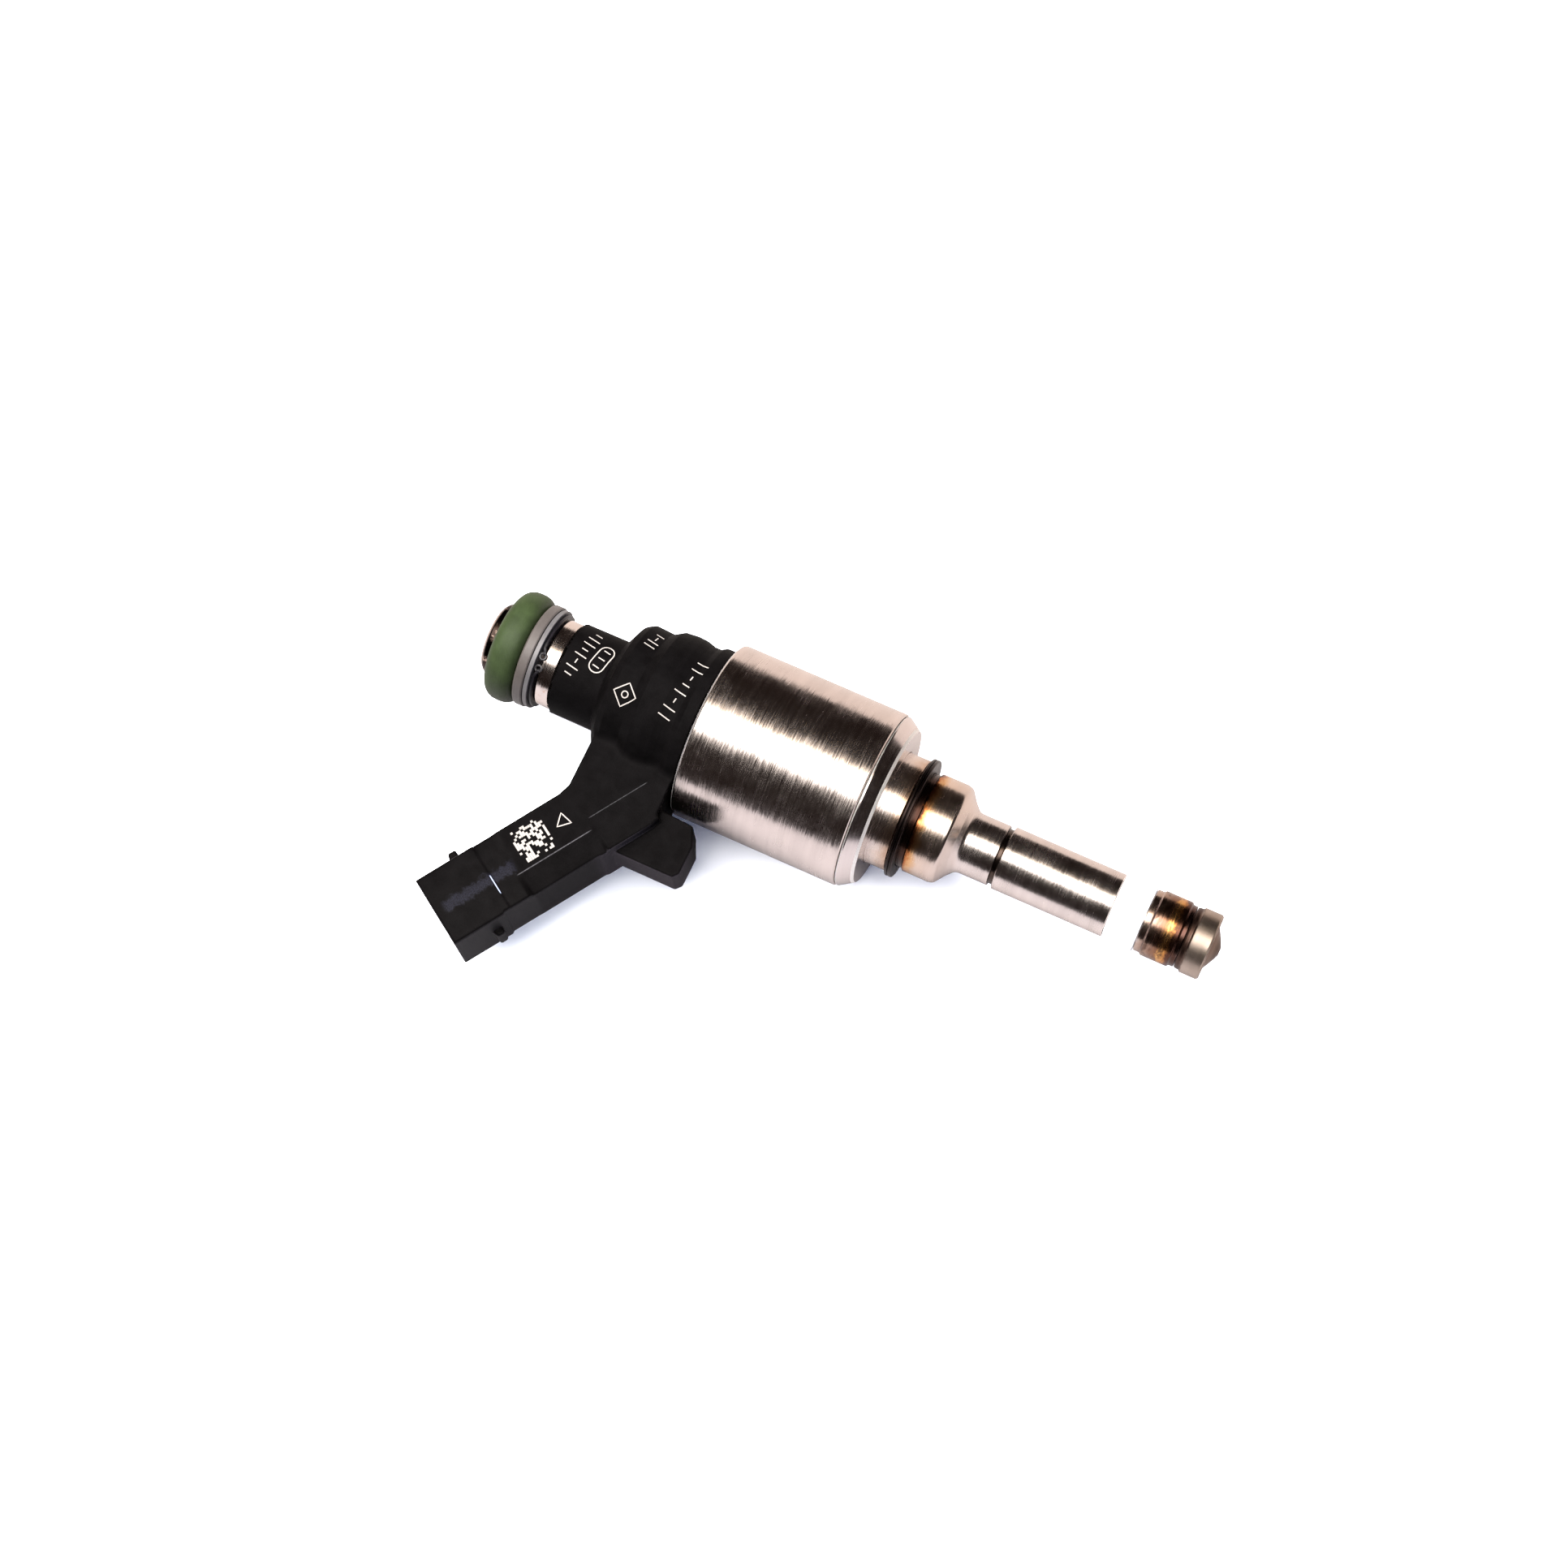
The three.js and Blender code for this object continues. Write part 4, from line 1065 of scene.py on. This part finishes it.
turned_piece("snap_ring", [
    (2.66, 5.64), (3.44, 5.64), (3.44, 6.93, 0.05), (3.37, 7.04, 0.07), (3.14, 7.04, 0.07),
    (3.05, 6.82, 0.03), (2.96, 7.04, 0.07), (2.74, 7.04, 0.07), (2.66, 6.93, 0.05),
], "dark_ring_steel")
turned_piece("combustion_seal", [
    (27.4, 3.15), (31.0, 3.15), (31.0, 3.8, 0.1), (30.85, 3.9, 0.12), (27.55, 3.9, 0.12),
    (27.4, 3.78, 0.1),
], "ptfe")
turned_piece("seat_body", [
    (38.6, 0.0), (38.5, 0.42, 0.1), (38.02, 0.45, 0.05), (36.66, 1.8, 0.1), (31.55, 1.8),
    (31.55, 2.78), (35.86, 2.78), (35.86, 3.5, 0.05), (36.05, 3.6, 0.1), (36.45, 3.62, 0.15),
    (36.62, 3.83, 0.1), (38.6, 3.83, 0.12), (38.8, 3.62, 0.12), (38.8, 2.5, 0.2),
    (38.88, 2.35, 0.1), (39.55, 1.05, 0.5), (TIP_X, 0.45, 0.5), (TIP_X, 0.0),
], "tip_steel", on_axis=True)

# ------------------------------------------------------------------ frame pieces that keep their shape
CARRIED = {
    "brass": ["inlet_filter"],
    "tin": ["terminal_left", "terminal_right"],
    "copper": ["coil_lead_left", "coil_lead_right", "coil_winding"],
    "bobbin": ["coil_bobbin"],
    "magnetic_steel": ["rear_washer", "pole_core", "armature"],
    "needle_steel": ["valve_sleeve", "adjusting_sleeve", "valve_needle", "needle_ball",
                     "upper_collar", "lower_stop"],
    "spring_steel": ["return_spring", "armature_spring"],
}
for material_name, nodes in CARRIED.items():
    for node_name in nodes:
        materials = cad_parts[node_name].data.materials
        materials.clear()
        materials.append(MATERIALS[material_name])


# ------------------------------------------------------------------ floor (metres from here on)
def floor_material():
    """White to the camera; a dimmer colour in bounced light, one on each side of the axis: cool on the
    -Y side as painted shade, warm on the +Y side as painted light.
    """
    net = new_material("floor_white")
    cloud = net.noise(0.01, detail=2.0)
    camera_ray = net.add("ShaderNodeLightPath").outputs["Is Camera Ray"]
    pale = net.mix(net.remap(cloud, (0.3, 0.7)), (0.93, 0.93, 0.93), (0.95, 0.95, 0.95))
    x, y, _ = net.object_xyz()
    side = net.remap(y, (-0.03, 0.03), smooth=True)
    # painted light and shade in reflections: cool on the -Y side for the floor's shadow, warm on the
    # +Y side for its lit part
    bounce = net.mix(side, (0.25, 0.238, 0.24), (0.225, 0.194, 0.172))  # -Y side, +Y side
    net.fill(net.bsdf, {"Base Color": net.mix(camera_ray, bounce, pale), "Roughness": 0.8,
                        "Specular IOR Level": 0.1})
    # far off, the floor runs into the white backdrop without a horizon
    reach = net.math("SQRT", net.plus(net.times(x, x), net.times(y, y)), 0.0)
    far = net.times(camera_ray, net.remap(reach, (0.35, 0.6), smooth=True))
    glow = net.add("ShaderNodeEmission", {"Color": (1, 1, 1, 1)})
    net.fill(net.sink, {0: net.mix_shader(far, net.bsdf, glow).outputs[0]})


FLOOR_Z = -0.01035
FLOOR_HALF = 6.0
floor_mesh = bpy.data.meshes.new("floor")
floor_corners = [(sx * FLOOR_HALF, sy * FLOOR_HALF, FLOOR_Z)
                 for sx, sy in ((-1, -1), (1, -1), (1, 1), (-1, 1))]
floor_mesh.from_pydata(floor_corners, [], [(0, 1, 2, 3)])
floor = bpy.data.objects.new("floor", floor_mesh)
bpy.context.scene.collection.objects.link(floor)
floor_material()
floor_mesh.materials.append(MATERIALS["floor_white"])


# ------------------------------------------------------------------ lights
def area_light(name, position, target, size, power, colour):
    light = bpy.data.lights.new(name, "AREA")
    light.shape = "RECTANGLE"
    light.size, light.size_y = size
    light.energy = power
    light.color = colour
    lamp = bpy.data.objects.new(name, light)
    lamp.location = position
    aim = Vector(target) - Vector(position)
    lamp.rotation_euler = aim.to_track_quat("-Z", "Y").to_euler()
    bpy.context.scene.collection.objects.link(lamp)
    return lamp


CENTRE_X = -0.045
# A wide soft panel overhead, in overlapping sheets so that its edges fade; the steel mirrors it.
# Columns: name, y, height, (size along X, size along Y), power, colour
OVERHEAD = [
    ("overhead_core", -0.09, 1.00, (1.7, 0.50), 11.4, (1.0, 0.99, 0.975)),
    ("overhead_mid", -0.09, 1.02, (1.9, 0.74), 5.2, (1.0, 0.96, 0.92)),
    ("overhead_rim", -0.09, 1.04, (2.2, 0.98), 1.2, (1.0, 0.95, 0.90)),
    ("warm_edge", 0.195, 1.01, (1.7, 0.07), 0.85, (1.0, 0.72, 0.34)),
]
for name, y, height, size, power, colour in OVERHEAD:
    sheet = area_light(name, (CENTRE_X, y, height), (CENTRE_X, y, 0.0), size, power, colour)
    sheet.visible_diffuse = False
# one large soft light from behind and to the left fills the matt surfaces and the floor
key = area_light("key", position=(CENTRE_X - 0.38, 0.11, 1.0), target=(CENTRE_X, 0.0, 0.0),
                 size=(1.7, 1.5), power=100.0, colour=(1.0, 0.985, 0.97))
key.visible_glossy = False


# ------------------------------------------------------------------ world
def build_world():
    """White to the camera, a bluish fill to matt surfaces, nearly black in reflections."""
    world = bpy.data.worlds.new("studio")
    bpy.context.scene.world = world
    world.use_nodes = True
    net = NodeNet(world.node_tree)
    sink = net.add("ShaderNodeOutputWorld")
    rays = net.add("ShaderNodeLightPath").outputs
    backdrop, reflected, fill = (
        net.add("ShaderNodeBackground", {"Color": colour, "Strength": 1.0})
        for colour in ((1, 1, 1, 1), (0.014, 0.009, 0.008, 1), (0.17, 0.25, 0.50, 1)))
    unseen = net.mix_shader(rays["Is Diffuse Ray"], reflected, fill)
    whole = net.mix_shader(rays["Is Camera Ray"], unseen, backdrop)
    net.fill(sink, {0: whole.outputs[0]})


build_world()

# ------------------------------------------------------------------ camera
CAMERA_PLACE = (42.33964483, -85.95358523, 319.26898688)  # millimetres, from the shoulder
camera_data = bpy.data.cameras.new("camera")
camera_data.sensor_width = 36.0
camera_data.lens = 68.664596273
camera_data.clip_start = 0.01
camera_data.clip_end = 50
camera = bpy.data.objects.new("camera", camera_data)
right = Vector((0.90431837, 0.42480378, -0.04183342))
up = Vector((-0.39508698, 0.87008146, 0.29472788))
backward = right.cross(up)
place = to_metres([CAMERA_PLACE])[0]
rows = [(right[i], up[i], backward[i], place[i]) for i in range(3)]
camera.matrix_world = Matrix((*rows, (0, 0, 0, 1)))
bpy.context.scene.collection.objects.link(camera)
bpy.context.scene.camera = camera
bpy.context.scene.view_settings.view_transform = "Standard"
bpy.context.scene.view_settings.look = "None"
